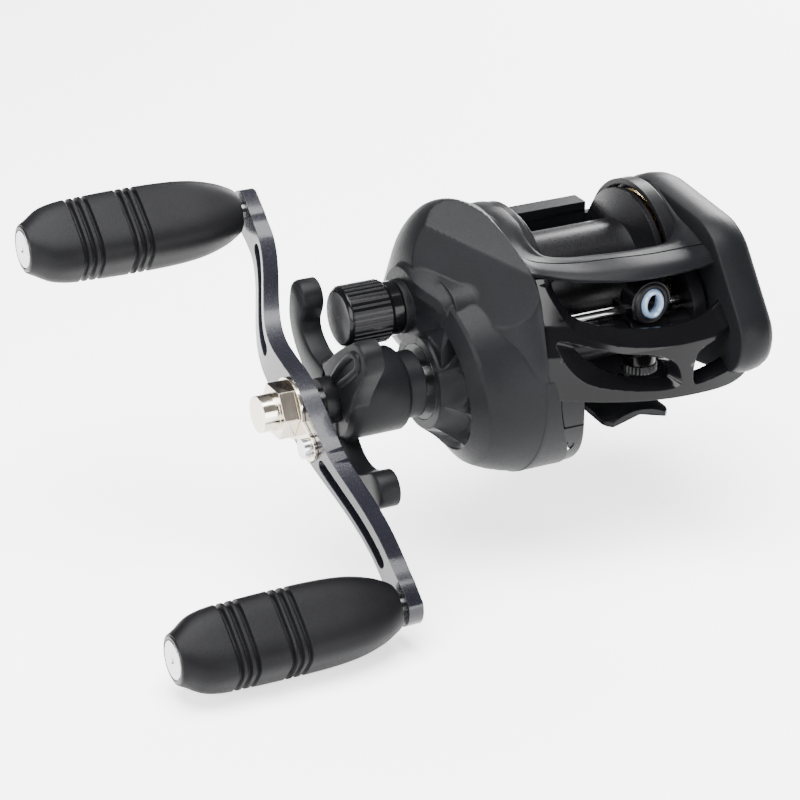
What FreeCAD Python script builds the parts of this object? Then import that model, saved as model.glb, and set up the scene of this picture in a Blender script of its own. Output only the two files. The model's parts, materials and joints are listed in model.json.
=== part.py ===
import FreeCAD, Part
import math
import os
import re

import Sketcher
from FreeCAD import Placement, Rotation, Vector

# Low-profile baitcasting reel.
# X is the spool axis with the handle on -X, -Y is the line guide side, +Z is up.
# The origin is the middle of the reel foot's rod seat.

SIZES = {
    # axes
    "spool_z": 20.5, "drive_y": -7.0, "drive_z": 7.234, "worm_y": -21.0, "worm_z": 14.98,
    # main frame
    "cheek_in": 14.2, "cheek_out": 17.0, "seam_gear": -20.0, "hump_rad": 16.9, "front_rad": 11.2,
    "front_y": -14.0, "front_z": 16.0, "rear_rad": 12.5, "rear_y": 9.5, "rear_z": 15.5,
    "lobe_rad": 21.1, "lobe_in": -11.3, "mouth_rad": 15.8, "wall": 1.7, "fit": 0.05,
    # foot
    "foot_width": 13.0, "foot_half": 29.0, "foot_thick": 2.0, "saddle_half": 13.0,
    # spool
    "flange_x": 13.75, "flange_rad": 15.3, "drum_rad": 9.5, "rim_thick": 1.2, "shaft_rad": 1.2,
    # gears
    "gear_mod": 0.4, "drive_teeth": 64, "pinion_teeth": 11, "guide_mod": 0.5,
    "guide_teeth": 48, "worm_teeth": 16, "press_angle": 25.0, "backlash": 0.1,
    # level wind
    "tube_rad": 3.2, "tube_bore": 2.6, "rod_rad": 1.0, "rod_y": -18.6, "rod_z": 19.3,
    "guide_x": 4.4, "eye_z": 22.5, "eye_front": -25.6, "boss_rad": 4.3,
    # covers
    "gear_out": -37.0, "palm_seam": 17.2, "palm_out": 26.6,
    # nose
    "bow_x": 6.0, "bow_y": 10.3, "lip_r": 43.7, "bar_r": 43.1, "brow_r": 35.6, "brow_z": 28.0,
    "bar_z": 16.5, "lip_z": 5.7, "nose_wall": 2.4,
    # handle
    "arm_half": 44.0, "arm_tilt": 38.0, "arm_out": -63.8, "arm_end": -59.4, "arm_thick": 3.8,
    "stud_rad": 2.6, "grip_rad": 8.2, "grip_thick": 12.8,
    # star drag and tension knob
    "barrel_rad": 8.3, "star_out": -55.8, "star_in": -51.2,
    "drive_bore": 3.05, "knob_rad": 6.2, "knob_out": -50.6, "knob_ridges": 32,
}

doc = FreeCAD.newDocument("Reel")
sheet = doc.addObject("Spreadsheet::Sheet", "Dim")
for row, (alias, size) in enumerate(SIZES.items(), start=1):
    sheet.set(f"A{row}", alias)
    sheet.set(f"B{row}", str(size))
    sheet.setAlias(f"B{row}", alias)
doc.recompute()

SPOOL = ("0", "spool_z")
DRIVE = ("drive_y", "drive_z")
WORM = ("worm_y", "worm_z")

subparts = []


def size(text):
    """The value of an expression in the sheet's names."""
    return float(sheet.evalExpression(str(text)))


def bind(obj, prop, text):
    """Bind a property to an expression whose words are names in the sheet."""
    obj.setExpression(prop, re.sub(r"[a-z]\w+", lambda word: "Dim." + word.group(0), str(text)))


def keep(obj, label):
    """Name a finished sub-part."""
    obj.Label = label
    subparts.append(obj)
    return obj


def rod(x0, x1, radius, axis=SPOOL):
    """A cylinder along X from x0 to x1."""
    obj = doc.addObject("Part::Cylinder", "Rod")
    obj.Placement = Placement(Vector(), Rotation(Vector(0, 1, 0), 90))
    bind(obj, "Radius", radius)
    bind(obj, "Height", f"{x1} - ({x0})")
    bind(obj, ".Placement.Base.x", x0)
    bind(obj, ".Placement.Base.y", axis[0])
    bind(obj, ".Placement.Base.z", axis[1])
    return obj


def post(x, y, z0, z1, radius):
    """An upright cylinder."""
    obj = doc.addObject("Part::Cylinder", "Post")
    bind(obj, "Radius", radius)
    bind(obj, "Height", f"{z1} - ({z0})")
    for prop, text in zip("xyz", (x, y, z0)):
        bind(obj, ".Placement.Base." + prop, text)
    return obj


def spigot(x, z, y0, y1, radius):
    """A cylinder along Y from y0 to y1."""
    obj = doc.addObject("Part::Cylinder", "Spigot")
    obj.Placement = Placement(Vector(), Rotation(Vector(1, 0, 0), -90))
    bind(obj, "Radius", radius)
    bind(obj, "Height", f"{y1} - ({y0})")
    for prop, text in zip("xyz", (x, y0, z)):
        bind(obj, ".Placement.Base." + prop, text)
    return obj


def block(x0, x1, y0, y1, z0, z1):
    """A box between two corners."""
    obj = doc.addObject("Part::Box", "Block")
    for prop, low, high in (("Length", x0, x1), ("Width", y0, y1), ("Height", z0, z1)):
        bind(obj, prop, f"{high} - ({low})")
    for prop, low in zip("xyz", (x0, y0, z0)):
        bind(obj, ".Placement.Base." + prop, low)
    return obj


def fuse(*pieces):
    obj = doc.addObject("Part::MultiFuse", "Fuse")
    obj.Shapes = list(pieces)
    return obj


def group(*pieces):
    """Separate solids that share one node."""
    obj = doc.addObject("Part::Compound", "Group")
    obj.Links = list(pieces)
    return obj


def cut(base, *tools):
    obj = doc.addObject("Part::Cut", "Cut")
    obj.Base = base
    obj.Tool = fuse(*tools) if len(tools) > 1 else tools[0]
    return obj


def common(base, tool):
    obj = doc.addObject("Part::Common", "Common")
    obj.Base = base
    obj.Tool = tool
    return obj


def tube(x0, x1, outer, inner, axis=SPOOL):
    """A ring or bush along X."""
    return cut(rod(x0, x1, outer, axis), rod(f"{x0} - 1", f"{x1} + 1", inner, axis))


def flat(corner):
    """A sketch corner's starting place."""
    return Vector(size(corner[0]), size(corner[1]), 0)


def polygon(body, role, points):
    """A sketch on a plane of the body's origin, with each corner's place bound to the sheet."""
    sketch = body.newObject("Sketcher::SketchObject", "Outline")
    plane = [item for item in body.Origin.OriginFeatures if item.Role == role][0]
    sketch.AttachmentSupport = [(plane, "")]
    sketch.MapMode = "FlatFace"
    count = len(points)
    for index in range(count):
        sketch.addGeometry(Part.LineSegment(flat(points[index]), flat(points[(index + 1) % count])))
    for index in range(count):
        sketch.addConstraint(Sketcher.Constraint("Coincident", index, 2, (index + 1) % count, 1))
    for index, corner in enumerate(points):
        for kind, text, start in zip(("DistanceX", "DistanceY"), corner, flat(corner)):
            number = sketch.addConstraint(Sketcher.Constraint(kind, -1, 1, index, 1, start))
            bind(sketch, f"Constraints[{number}]", text)
    return sketch



def turned(points, axis=SPOOL):
    """A piece turned about an axis along X, from its (x, radius) profile."""
    body = doc.addObject("PartDesign::Body", "Turned")
    sketch = polygon(body, "XY_Plane", points)
    feature = body.newObject("PartDesign::Revolution", "Revolution")
    feature.Profile = sketch
    feature.ReferenceAxis = (sketch, ["H_Axis"])
    feature.Angle = 360
    sketch.Visibility = False
    bind(body, ".Placement.Base.y", axis[0])
    bind(body, ".Placement.Base.z", axis[1])
    return body


def padded(points, x0, x1):
    """A piece padded along X from its (y, z) outline."""
    body = doc.addObject("PartDesign::Body", "Padded")
    sketch = polygon(body, "YZ_Plane", points)
    feature = body.newObject("PartDesign::Pad", "Pad")
    feature.Profile = sketch
    bind(feature, "Length", f"{x1} - ({x0})")
    bind(body, ".Placement.Base.x", x0)
    return body


def bowed(points, half_angle):
    """A wall turned part way about the upright bow axis, from its (radius, z) profile."""
    body = doc.addObject("PartDesign::Body", "Bowed")
    sketch = polygon(body, "YZ_Plane", [(f"0 - ({radius})", z) for radius, z in points])
    feature = body.newObject("PartDesign::Revolution", "Revolution")
    feature.Profile = sketch
    feature.ReferenceAxis = (sketch, ["V_Axis"])
    feature.Angle = 2 * half_angle
    feature.Midplane = True
    bind(body, ".Placement.Base.x", "bow_x")
    bind(body, ".Placement.Base.y", "bow_y")
    return body


def shaped(shape):
    """A piece whose shape is worked out here, because no feature makes it."""
    obj = doc.addObject("Part::Feature", "Shaped")
    place = shape.Placement
    obj.Shape = shape
    obj.Placement = place
    return obj


# ---------------------------------------------------------------- gears

def involute(radius, base):
    """The involute's polar angle at a radius."""
    if radius <= base:
        return 0.0
    roll = math.sqrt((radius / base) ** 2 - 1)
    return roll - math.atan(roll)


def gear_face(module, teeth, turn=0.0):
    """A spur gear's face with involute flanks and running backlash, in the YZ plane."""
    pitch = module * teeth / 2
    base = pitch * math.cos(math.radians(size("press_angle")))
    tip = pitch + 0.8 * module
    root = pitch - 1.1 * module
    half = math.pi / (2 * teeth) - size("backlash") / (4 * pitch) + involute(pitch, base)
    flank = [root] + [max(base, root + 0.05) + (tip - max(base, root + 0.05)) * step / 3 for step in range(4)]
    corners = []
    for tooth in range(teeth):
        middle = 2 * math.pi * tooth / teeth + turn
        sides = [(radius, half - involute(radius, base)) for radius in flank]
        outline = [(radius, -angle) for radius, angle in sides]
        outline += [(radius, angle) for radius, angle in reversed(sides)]
        for radius, angle in outline:
            corners.append(Vector(0, radius * math.cos(middle + angle), radius * math.sin(middle + angle)))
    return Part.Face(Part.makePolygon(corners + corners[:1]))


def gear(x0, x1, module, teeth, bore, axis, turn=0.0):
    """A spur gear on an axis along X."""
    length = size(x1) - size(x0)
    blank = gear_face(module, teeth, turn).extrude(Vector(length, 0, 0))
    hole = Part.makeCylinder(bore, length + 2, Vector(-1, 0, 0), Vector(1, 0, 0))
    wheel = blank.cut(hole)
    wheel.translate(Vector(size(x0), size(axis[0]), size(axis[1])))
    return shaped(wheel)


def mesh_turn(driver_axis, axis, driver_teeth, teeth):
    """How far a driven gear is turned so that its gaps face the driver's teeth."""
    run_y = size(axis[0]) - size(driver_axis[0])
    run_z = size(axis[1]) - size(driver_axis[1])
    line = math.atan2(run_z, run_y)
    part_tooth = line / (2 * math.pi / driver_teeth) % 1
    return line + math.pi + (2 * part_tooth + 1) * math.pi / teeth


# ---------------------------------------------------------------- side covers

def reach(circle, centre, angle):
    """How far a ray from the centre runs before it leaves a circle."""
    along = (circle[0] - centre[0]) * math.cos(angle) + (circle[1] - centre[1]) * math.sin(angle)
    gap = (circle[0] - centre[0]) ** 2 + (circle[1] - centre[1]) ** 2
    inside = circle[2] ** 2 - gap + along ** 2
    if inside <= 0:
        return 0.1
    return max(along + math.sqrt(inside), 0.1)


def cover_wire(x, circles, centre, inset, count=48):
    """A smooth closed outline round several circles, drawn in by the inset."""
    corners = []
    for index in range(count):
        angle = 2 * math.pi * index / count
        spans = [reach(circle, centre, angle) for circle in circles]
        span = sum(value ** 14 for value in spans) ** (1 / 14) - inset
        corners.append(Vector(x, centre[0] + span * math.cos(angle), centre[1] + span * math.sin(angle)))
    curve = Part.BSplineCurve()
    curve.interpolate(corners, PeriodicFlag=True)
    return Part.Wire(curve.toShape())


def cover_solid(stations, circles, centre):
    """A domed solid through the outlines at each (x, inset) station."""
    wires = [cover_wire(x, circles, centre, inset) for x, inset in stations]
    return Part.makeLoft(wires, True, False)


def hump_circles():
    """The circles that both covers share: round the spool, the front shoulder and the rear."""
    return [
        (0, size("spool_z"), 19.0),
        (-14.0, 21.0, 13.6),
        (size("rear_y"), size("rear_z"), 13.0),
    ]


def gear_cover(lift):
    """The gear-side dome, drawn in all over by the lift."""
    circles = hump_circles() + [(size("drive_y"), size("drive_z"), 21.3)]
    stations = [(-20.0, 0.2), (-24.0, 0.0), (-27.0, 0.6), (-30.0, 2.4), (-33.0, 5.6), (-35.3, 9.4)]
    end = size("gear_out") + lift
    drum_foot = Vector(end, size("drive_y"), size("drive_z"))
    drum = Part.makeCylinder(14.0 - lift, -30 - end, drum_foot, Vector(1, 0, 0))
    boss = Part.makeCylinder(8.2 - lift, -30 - end, Vector(end, 0, size("spool_z")), Vector(1, 0, 0))
    drawn_in = [(x + (lift if x < -24 else 0), inset + lift) for x, inset in stations]
    dome = cover_solid(drawn_in, circles, (-4, 14))
    return dome.fuse([drum, boss])


def palm_cover(lift):
    """The palm-side dome, drawn in all over by the lift."""
    stations = [(17.2, 0.2), (20.0, 0.0), (22.5, 0.8), (24.6, 2.4), (25.9, 4.4), (size("palm_out"), 7.0)]
    stations = [(x - (lift if x > 20 else 0), inset + lift) for x, inset in stations]
    circles = [(0, size("spool_z"), 18.2), (-14.0, 23.5, 13.0), (-24.0, 14.8, 10.4),
               (size("rear_y"), size("rear_z"), 13.0)]
    return cover_solid(stations, circles, (-5, 17))


# ---------------------------------------------------------------- main frame

def cheek(x0, x1):
    """One side plate of the frame, as overlapping discs and a skirt."""
    return [
        rod(x0, x1, "hump_rad"),
        rod(x0, x1, "front_rad", ("front_y", "front_z")),
        rod(x0, x1, "rear_rad", ("rear_y", "rear_z")),
        block(x0, x1, "front_y - 4", "rear_y + 2", "0", "rear_z"),
    ]


def make_frame():
    lobe = cut(
        rod("0 - cheek_out", "lobe_in", "lobe_rad", DRIVE),
        block("0 - 30", "0", "0 - 40", "30", "1", "40"),
    )
    bars = [
        block("0 - cheek_out", "cheek_out", "0 - saddle_half", "saddle_half", "0", "3"),
        block("0 - cheek_out", "cheek_out", "19.8", "21.6", "9", "20.6"),
        block("0 - cheek_out", "cheek_out", "0 - 19", "0 - 15.6", "0.6", "3.4"),
    ]
    solid = fuse(*cheek("0 - cheek_out", "0 - cheek_in"), *cheek("cheek_in", "cheek_out"), lobe, *bars)
    mouth = rod("0 - cheek_out - 1", "cheek_out + 1", "mouth_rad")
    slot = block("0 - cheek_out - 1", "cheek_out + 1", "16.9", "19.1", "15.6", "25.4")
    tube_hole = rod("0 - cheek_out - 1", "cheek_out + 1", "tube_rad + fit", WORM)
    rod_hole = rod("0 - cheek_out - 1", "cheek_out + 1", "rod_rad + fit", ("rod_y", "rod_z"))
    foot_well = block("0 - 6.6", "6.6", "0 - saddle_half - 8", "saddle_half + 8", "0 - 1", "foot_thick")
    screw_seat = [spigot("0 - 13.6", "0 - 4.2", "0 - 30", "0 - 22.2", "1.5"),
                  spigot("0 - 13.6", "0 - 4.2", "0 - 23", "0 - 15", "0.8")]
    keep(cut(solid, mouth, slot, tube_hole, rod_hole, foot_well, *screw_seat), "frame")


def make_foot():
    """The reel foot: a thin saddle with two long tapering blades."""
    blade = ["0 - foot_half", "0 - saddle_half", "saddle_half", "foot_half"]
    points = [
        (blade[0], "0"), (blade[3], "0"), (blade[3], "0.9"), (blade[2], "foot_thick"),
        (blade[1], "foot_thick"), (blade[0], "0.9"),
    ]
    keep(padded(points, "0 - foot_width / 2", "foot_width / 2"), "reel_foot")
    rivets = [post("0", y, "3.02", "3.9", "1.5") for y in ("0 - 8", "0", "8")]
    keep(group(*rivets), "foot_rivets")


def make_gear_frame():
    """The plate that carries the drive shaft and pinion bearings and closes the gear case."""
    plate = fuse(
        *cheek("seam_gear + 0.05", "0 - cheek_out - 0.05"),
        rod("seam_gear + 0.05", "0 - cheek_out - 0.05", "lobe_rad", DRIVE),
    )
    holes = [
        rod("seam_gear - 1", "0 - cheek_out + 1", "5.05", SPOOL),
        rod("seam_gear - 1", "0 - cheek_out + 1", "5.05", DRIVE),
        rod("seam_gear - 1", "0 - cheek_out + 1", "tube_rad + fit", WORM),
        rod("seam_gear - 1", "0 - cheek_out + 1", "rod_rad + fit", ("rod_y", "rod_z")),
        block("seam_gear - 1", "0 - cheek_out + 1", "16.9", "19.1", "15.6", "25.4"),
    ]
    keep(cut(plate, *holes), "gear_side_frame")


# ---------------------------------------------------------------- nose and hood

def cheek_room(radius, axis):
    """The room that both side plates take up round one axis."""
    return [
        rod("seam_gear", "0.1 - cheek_in", radius, axis),
        rod("cheek_in - 0.1", "palm_seam", radius, axis),
    ]


def make_nose():
    """The bowed front shell, open between brow and bar and again between bar and lip."""
    wall = [
        ("lip_r", "lip_z"), ("lip_r", "lip_z + 2.4"), ("bar_r", "bar_z"), ("brow_r", "brow_z"),
        ("brow_r - 2.6", "brow_z - 0.4"), ("bar_r - nose_wall", "bar_z - 1"),
        ("lip_r - nose_wall - 3", "lip_z"),
    ]
    shell = bowed(wall, 36)
    trimmed = common(shell, block("seam_gear + 0.3", "palm_seam - 0.5", "0 - 40", "0", "0", "40"))
    windows = [
        block("0 - 15.4", "15.4", "0 - 45", "0 - 15", "bar_z + 1.4", "brow_z - 0.8"),
        block("0 - 15.4", "7.6", "0 - 45", "0 - 15", "lip_z + 2.4", "bar_z - 1"),
        block("10.2", "15.4", "0 - 45", "0 - 15", "lip_z + 2.4", "bar_z - 1"),
    ]
    room = cheek_room("front_rad + 0.2", ("front_y", "front_z"))
    room.append(rod("seam_gear", "0.1 - cheek_in", "lobe_rad + 0.2", DRIVE))
    keep(cut(trimmed, *windows, *room), "front_nose")


def make_hood():
    """The hood round the spool opening: a sloped brow and a rail over each frame ring."""
    brow = bowed(
        [("24.6", "30.2"), ("28.5", "31.6"), ("brow_r + 0.6", "brow_z + 1.0"),
         ("brow_r + 0.4", "brow_z + 0.1"),
         ("28.6", "30.0"), ("25.4", "29.2")], 44)
    brow = common(brow, block("0 - cheek_out", "cheek_out", "0 - 40", "0", "20", "40"))
    rails = [cut(rod(x0, x1, "hump_rad + 1.3"), rod(f"{x0} - 1", f"{x1} + 1", "hump_rad + 0.1"))
             for x0, x1 in (("seam_gear + 0.1", "0 - cheek_in"), ("cheek_in", "palm_seam - 0.1"))]
    upper = block("0 - 30", "30", "0 - 16", "15", "29.5", "50")
    hood = fuse(brow, *[common(rail, upper) for rail in rails])
    relief = cheek_room("front_rad + 0.1", ("front_y", "front_z")) + cheek_room("hump_rad + 0.1", SPOOL)
    relief.append(rod("0 - cheek_in - 0.1", "cheek_in + 0.1", "mouth_rad + 0.3"))
    keep(cut(hood, *relief), "top_hood")


# ---------------------------------------------------------------- covers

def make_gear_cover():
    shell = gear_cover(0.0).cut(gear_cover(size("wall")))
    mouth = Part.makeBox(20, 90, 90, Vector(size("seam_gear"), -45, -30))
    neck = Part.makeCylinder(4.4, 7.5, Vector(-44.0, 0, size("spool_z")), Vector(1, 0, 0))
    shell = shell.fuse(neck).cut(mouth)
    housing = Part.makeCylinder(9.3, 6.0, Vector(-36.8, -7.0, size("drive_z")), Vector(1, 0, 0))
    shell = shell.fuse(housing)
    drilled = [
        Part.makeCylinder(2.9, 30, Vector(-60.0, 0, size("spool_z")), Vector(1, 0, 0)),
        Part.makeCylinder(7.55, 30, Vector(-60.0, -7.0, size("drive_z")), Vector(1, 0, 0)),
    ]
    keep(shaped(shell.cut(drilled)), "gear_side_cover")


def make_palm_cover():
    shell = palm_cover(0.0).cut(palm_cover(size("wall")))
    shell = shell.cut(Part.makeBox(20, 90, 90, Vector(size("palm_seam") - 20, -45, -30)))
    housing = Part.makeCylinder(5.5, 7.4, Vector(18.2, 0, size("spool_z")), Vector(1, 0, 0))
    shell = shell.fuse(housing)
    drilled = [
        Part.makeCylinder(2.9, 4.2, Vector(17.2, 0, size("spool_z")), Vector(1, 0, 0)),
        Part.makeCylinder(2.2, 30, Vector(20, 0, size("spool_z")), Vector(1, 0, 0)),
        Part.makeCylinder(2.2, 10, Vector(23.0, -15.0, 12.0), Vector(1, 0, 0)),
    ]
    keep(shaped(shell.cut(drilled)), "palm_side_cover")


def make_case_fasteners():
    screw = fuse(spigot("0 - 13.6", "0 - 4.2", "0 - 23.9", "0 - 22.2", "1.4"),
                 spigot("0 - 13.6", "0 - 4.2", "0 - 22.3", "0 - 15.4", "0.75"))
    keep(screw, "case_screw")
    keep(turned([("22", "0"), ("22", "1.2"), ("24.4", "1.2"), ("24.4", "2.1"),
                 ("26.2", "2.1"), ("26.2", "0")],
                ("0 - 15", "12")), "palm_screw")


# ---------------------------------------------------------------- spool and bearings

def make_spool():
    points = [
        ("0 - flange_x", "shaft_rad + fit"), ("0 - flange_x", "5"), ("0 - flange_x + 1.6", "8"),
        ("0 - flange_x", "flange_rad - 1.4"), ("0 - flange_x", "flange_rad"),
        ("rim_thick - flange_x", "flange_rad"), ("rim_thick - flange_x + 1.6", "drum_rad"),
        ("flange_x - rim_thick - 1.6", "drum_rad"), ("flange_x - rim_thick", "flange_rad"),
        ("flange_x", "flange_rad"), ("flange_x", "flange_rad - 1.4"), ("flange_x - 1.6", "8"),
        ("flange_x", "5"), ("flange_x", "shaft_rad + fit"),
    ]
    keep(turned(points), "spool")
    keep(fuse(rod("0 - 41", "21.2", "shaft_rad"),
              post("0 - 15.4", "0", "spool_z - 2.4", "spool_z + 2.4", "0.5")),
         "spool_shaft")
    blocks = []
    for number in range(6):
        peg = Part.makeCylinder(0.8, 1.2, Vector(size("flange_x"), 0, 10.5), Vector(1, 0, 0))
        peg.rotate(Vector(), Vector(1, 0, 0), 60 * number)
        peg.translate(Vector(0, 0, size("spool_z")))
        blocks.append(peg)
    keep(shaped(Part.makeCompound(blocks)), "brake_blocks")
    keep(tube("15.2", "17", "14.5", "12.2"), "brake_ring")


def make_bearings():
    keep(tube("seam_gear + 0.1", "0 - cheek_out - 0.1", "5", "2.2"), "pinion_bearing")
    keep(tube("0 - 40.6", "0 - 38.6", "2.85", "shaft_rad + fit"), "spool_bearing_gear")
    keep(tube("18.4", "20.8", "2.85", "shaft_rad + fit"), "spool_bearing_palm")
    keep(tube("seam_gear + 0.1", "0 - cheek_out - 0.1", "5", "drive_bore", DRIVE), "drive_shaft_bearing")
    keep(tube("0 - 36.9", "0 - 31", "7.5", "4.05", DRIVE), "roller_bearing")
    keep(group(tube("0 - 42", "0 - 41.6", "2.6", "0.8"), tube("0 - 43.0", "0 - 42.6", "2.6", "0.8")),
         "tension_shims")


# ---------------------------------------------------------------- drive train

def make_drive():
    keep(fuse(rod("0 - 68.5", "seam_gear + 2", "stud_rad", DRIVE), rod("0 - 30", "seam_gear", "3", DRIVE)),
         "drive_shaft")
    bore = size("drive_bore")
    keep(gear("0 - 27.2", "0 - 24.2", size("gear_mod"), int(size("drive_teeth")), bore, DRIVE), "drive_gear")
    keep(tube("0 - 23.9", "0 - 23.1", "8", "drive_bore", DRIVE), "ratchet")
    keep(gear("0 - 22.9", "0 - 21.3", size("guide_mod"), int(size("guide_teeth")), bore, DRIVE),
         "level_wind_gear")
    keep(group(tube("0 - 28.0", "0 - 27.3", "8.6", "drive_bore", DRIVE),
               tube("0 - 21.1", "0 - 20.5", "4.2", "drive_bore", DRIVE)),
         "drag_washers")
    keep(tube("0 - 29.2", "0 - 28.1", "8.4", "drive_bore", DRIVE), "pressure_plate")
    keep(tube("0 - 38", "0 - 29.4", "3.95", "stud_rad + 0.45", DRIVE), "roller_sleeve")
    turn = mesh_turn(DRIVE, SPOOL, size("drive_teeth"), size("pinion_teeth"))
    teeth = gear("0 - 30.6", "0 - 23.6", size("gear_mod"), int(size("pinion_teeth")), 1.3, SPOOL, turn)
    spindle = turned([
        ("0 - 32.6", "shaft_rad + 0.1"), ("0 - 32.6", "2.5"), ("0 - 31.8", "2.5"), ("0 - 31.8", "1.7"),
        ("0 - 30.5", "1.7"), ("0 - 30.5", "1.5"), ("0 - 22.7", "1.5"), ("0 - 22.7", "1.9"),
        ("0 - 22.4", "2.15"), ("0 - 16.3", "2.15"), ("0 - 16.3", "shaft_rad + 0.1"),
    ])
    keep(fuse(teeth, spindle), "pinion")


def make_clutch():
    plate = block("0 - 31.7", "0 - 30.7", "0 - 4", "8.5", "spool_z - 3.4", "spool_z + 3.4")
    notch = [rod("0 - 33", "0 - 30", "1.85"),
             rod("0 - 33", "0 - 30", "1.1", ("6", "spool_z")),
             block("0 - 33", "0 - 30", "0 - 5", "0", "spool_z - 1.85", "spool_z + 1.85")]
    keep(cut(plate, *notch), "yoke")
    keep(rod("0 - 33.4", "seam_gear", "1", ("6", "spool_z")), "yoke_post")
    keep(tube("0 - 33.4", "0 - 33.0", "1.7", "1.05", ("6", "spool_z")), "yoke_spring")
    bar = fuse(
        block("0 - 13.6", "13.6", "17.0", "19.0", "20.6", "26.6"),
        block("0 - 13.6", "13.6", "16.9", "21.2", "26.0", "27.8"),
        block("0 - 19.6", "0 - 13", "17.1", "18.9", "21.2", "25.2"),
        block("13", "16.6", "17.1", "18.9", "21.2", "25.2"),
    )
    keep(bar, "thumb_bar")


# ---------------------------------------------------------------- level wind

def make_level_wind():
    slot = block("0 - 13", "13", "worm_y - 1", "worm_y + 1", "worm_z - 6", "worm_z")
    keep(cut(tube("0 - 19.8", "cheek_out - 0.1", "tube_rad", "tube_bore", WORM), slot), "worm_tube")
    worm = [("0 - 20.4", "0"), ("0 - 20.4", "1.2"), ("0 - 16", "1.2"), ("0 - 16", "2.4")]
    for step in range(11):
        left = -13.5 + 2.6 * step
        worm += [(f"{left:.2f}", "2.4"), (f"{left + 0.3:.2f}", "1.9"),
                 (f"{left + 0.9:.2f}", "1.9"), (f"{left + 1.2:.2f}", "2.4")]
    worm += [("15.6", "2.4"), ("15.6", "0")]
    keep(turned(worm, WORM), "worm")
    keep(shaped(worm_wheel()), "worm_gear")
    keep(tube("0 - 19.7", "0 - 17.2", "2.55", "1.25", WORM), "worm_bush")
    keep(rod("seam_gear + 0.2", "cheek_out - 0.1", "rod_rad", ("rod_y", "rod_z")), "guide_rod")


def worm_wheel():
    """The worm's wheel, with its shaft stub, turned so that its gaps face the driving teeth."""
    turn = mesh_turn(DRIVE, WORM, size("guide_teeth"), size("worm_teeth"))
    face = gear_face(size("guide_mod"), int(size("worm_teeth")), turn)
    wheel = face.extrude(Vector(1.6, 0, 0))
    wheel.translate(Vector(-22.9, size("worm_y"), size("worm_z")))
    stub = Part.makeCylinder(1.2, 0.9, Vector(-21.3, size("worm_y"), size("worm_z")), Vector(1, 0, 0))
    return wheel.fuse(stub)


def make_carriage():
    outer = fuse(
        spigot("guide_x", "eye_z", "eye_front + 1", "0 - 20.0", "boss_rad"),
        rod("guide_x - 4", "guide_x + 4", "4.6", WORM),
        block("guide_x - 4", "guide_x + 4", "0 - 21.6", "rod_y + 1.8", "rod_z - 2", "rod_z + 2"),
        post("guide_x", "worm_y", "9", "worm_z", "3.2"),
    )
    bores = [
        spigot("guide_x", "eye_z", "0 - 40", "0 - 10", "3.3"),
        rod("guide_x - 9", "guide_x + 9", "tube_rad + 0.06", WORM),
        rod("guide_x - 9", "guide_x + 9", "rod_rad + 0.06", ("rod_y", "rod_z")),
        post("guide_x", "worm_y", "8", "worm_z", "0.95"),
    ]
    keep(cut(outer, *bores), "guide_carriage")
    ring = cut(spigot("guide_x", "eye_z", "eye_front", "0 - 22.0", "3.25"),
               fuse(spigot("guide_x", "eye_z + 0.9", "0 - 40", "0 - 10", "1.3"),
                    spigot("guide_x", "eye_z - 0.9", "0 - 40", "0 - 10", "1.3")))
    keep(ring, "eye_ring")
    keep(post("guide_x", "worm_y", "9.05", "worm_z - 2.5", "0.9"), "pawl")
    cap = shaped(knurled(3.5, 28, 0.25, 1.6))
    keep(cap, "pawl_cap")
    bind(cap, ".Placement.Base.x", "guide_x")
    bind(cap, ".Placement.Base.y", "worm_y")
    bind(cap, ".Placement.Base.z", "7.3")


def knurled(radius, ridges, depth, height):
    """A short upright knob with straight ridges round it."""
    corners = []
    for index in range(2 * ridges):
        span = radius - depth * (index % 2)
        angle = math.pi * index / ridges
        corners.append(Vector(span * math.cos(angle), span * math.sin(angle), 0))
    return Part.Face(Part.makePolygon(corners + corners[:1])).extrude(Vector(0, 0, height))


# ---------------------------------------------------------------- handle

def along(distance, across=0.0):
    """A place in the YZ plane, measured along and across the handle arm from its axis."""
    tilt = math.radians(size("arm_tilt"))
    y = size("drive_y") + distance * math.cos(tilt) - across * math.sin(tilt)
    z = size("drive_z") + distance * math.sin(tilt) + across * math.cos(tilt)
    return y, z


def arm_station(distance):
    """The arm's bow, half width and outer face at a distance from its middle."""
    side = 1 if distance >= 0 else -1
    run = abs(distance) / size("arm_half")
    bow = -3.0 * side * math.sin(math.pi * min(run / 0.82, 1)) ** 1.5
    half = 5.2 - 2.0 * min(run / 0.45, 1)
    crank = 0.5 - 0.5 * math.cos(math.pi * min(max((run - 0.25) / 0.6, 0), 1))
    outer = size("arm_out") + (size("arm_end - arm_out")) * crank
    return bow, half, outer


def arm_slot(start, end):
    """A lightening slot along one half of the arm."""
    stations = [start + (end - start) * step / 5 for step in range(6)]
    wires = []
    for distance in stations:
        bow = arm_station(distance)[0]
        corners = [Vector(x, *along(distance, bow + side))
                   for x, side in ((-70, -1), (-50, -1), (-50, 1), (-70, 1))]
        wires.append(Part.makePolygon(corners + corners[:1]))
    return Part.makeLoft(wires, True, True)


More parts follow.
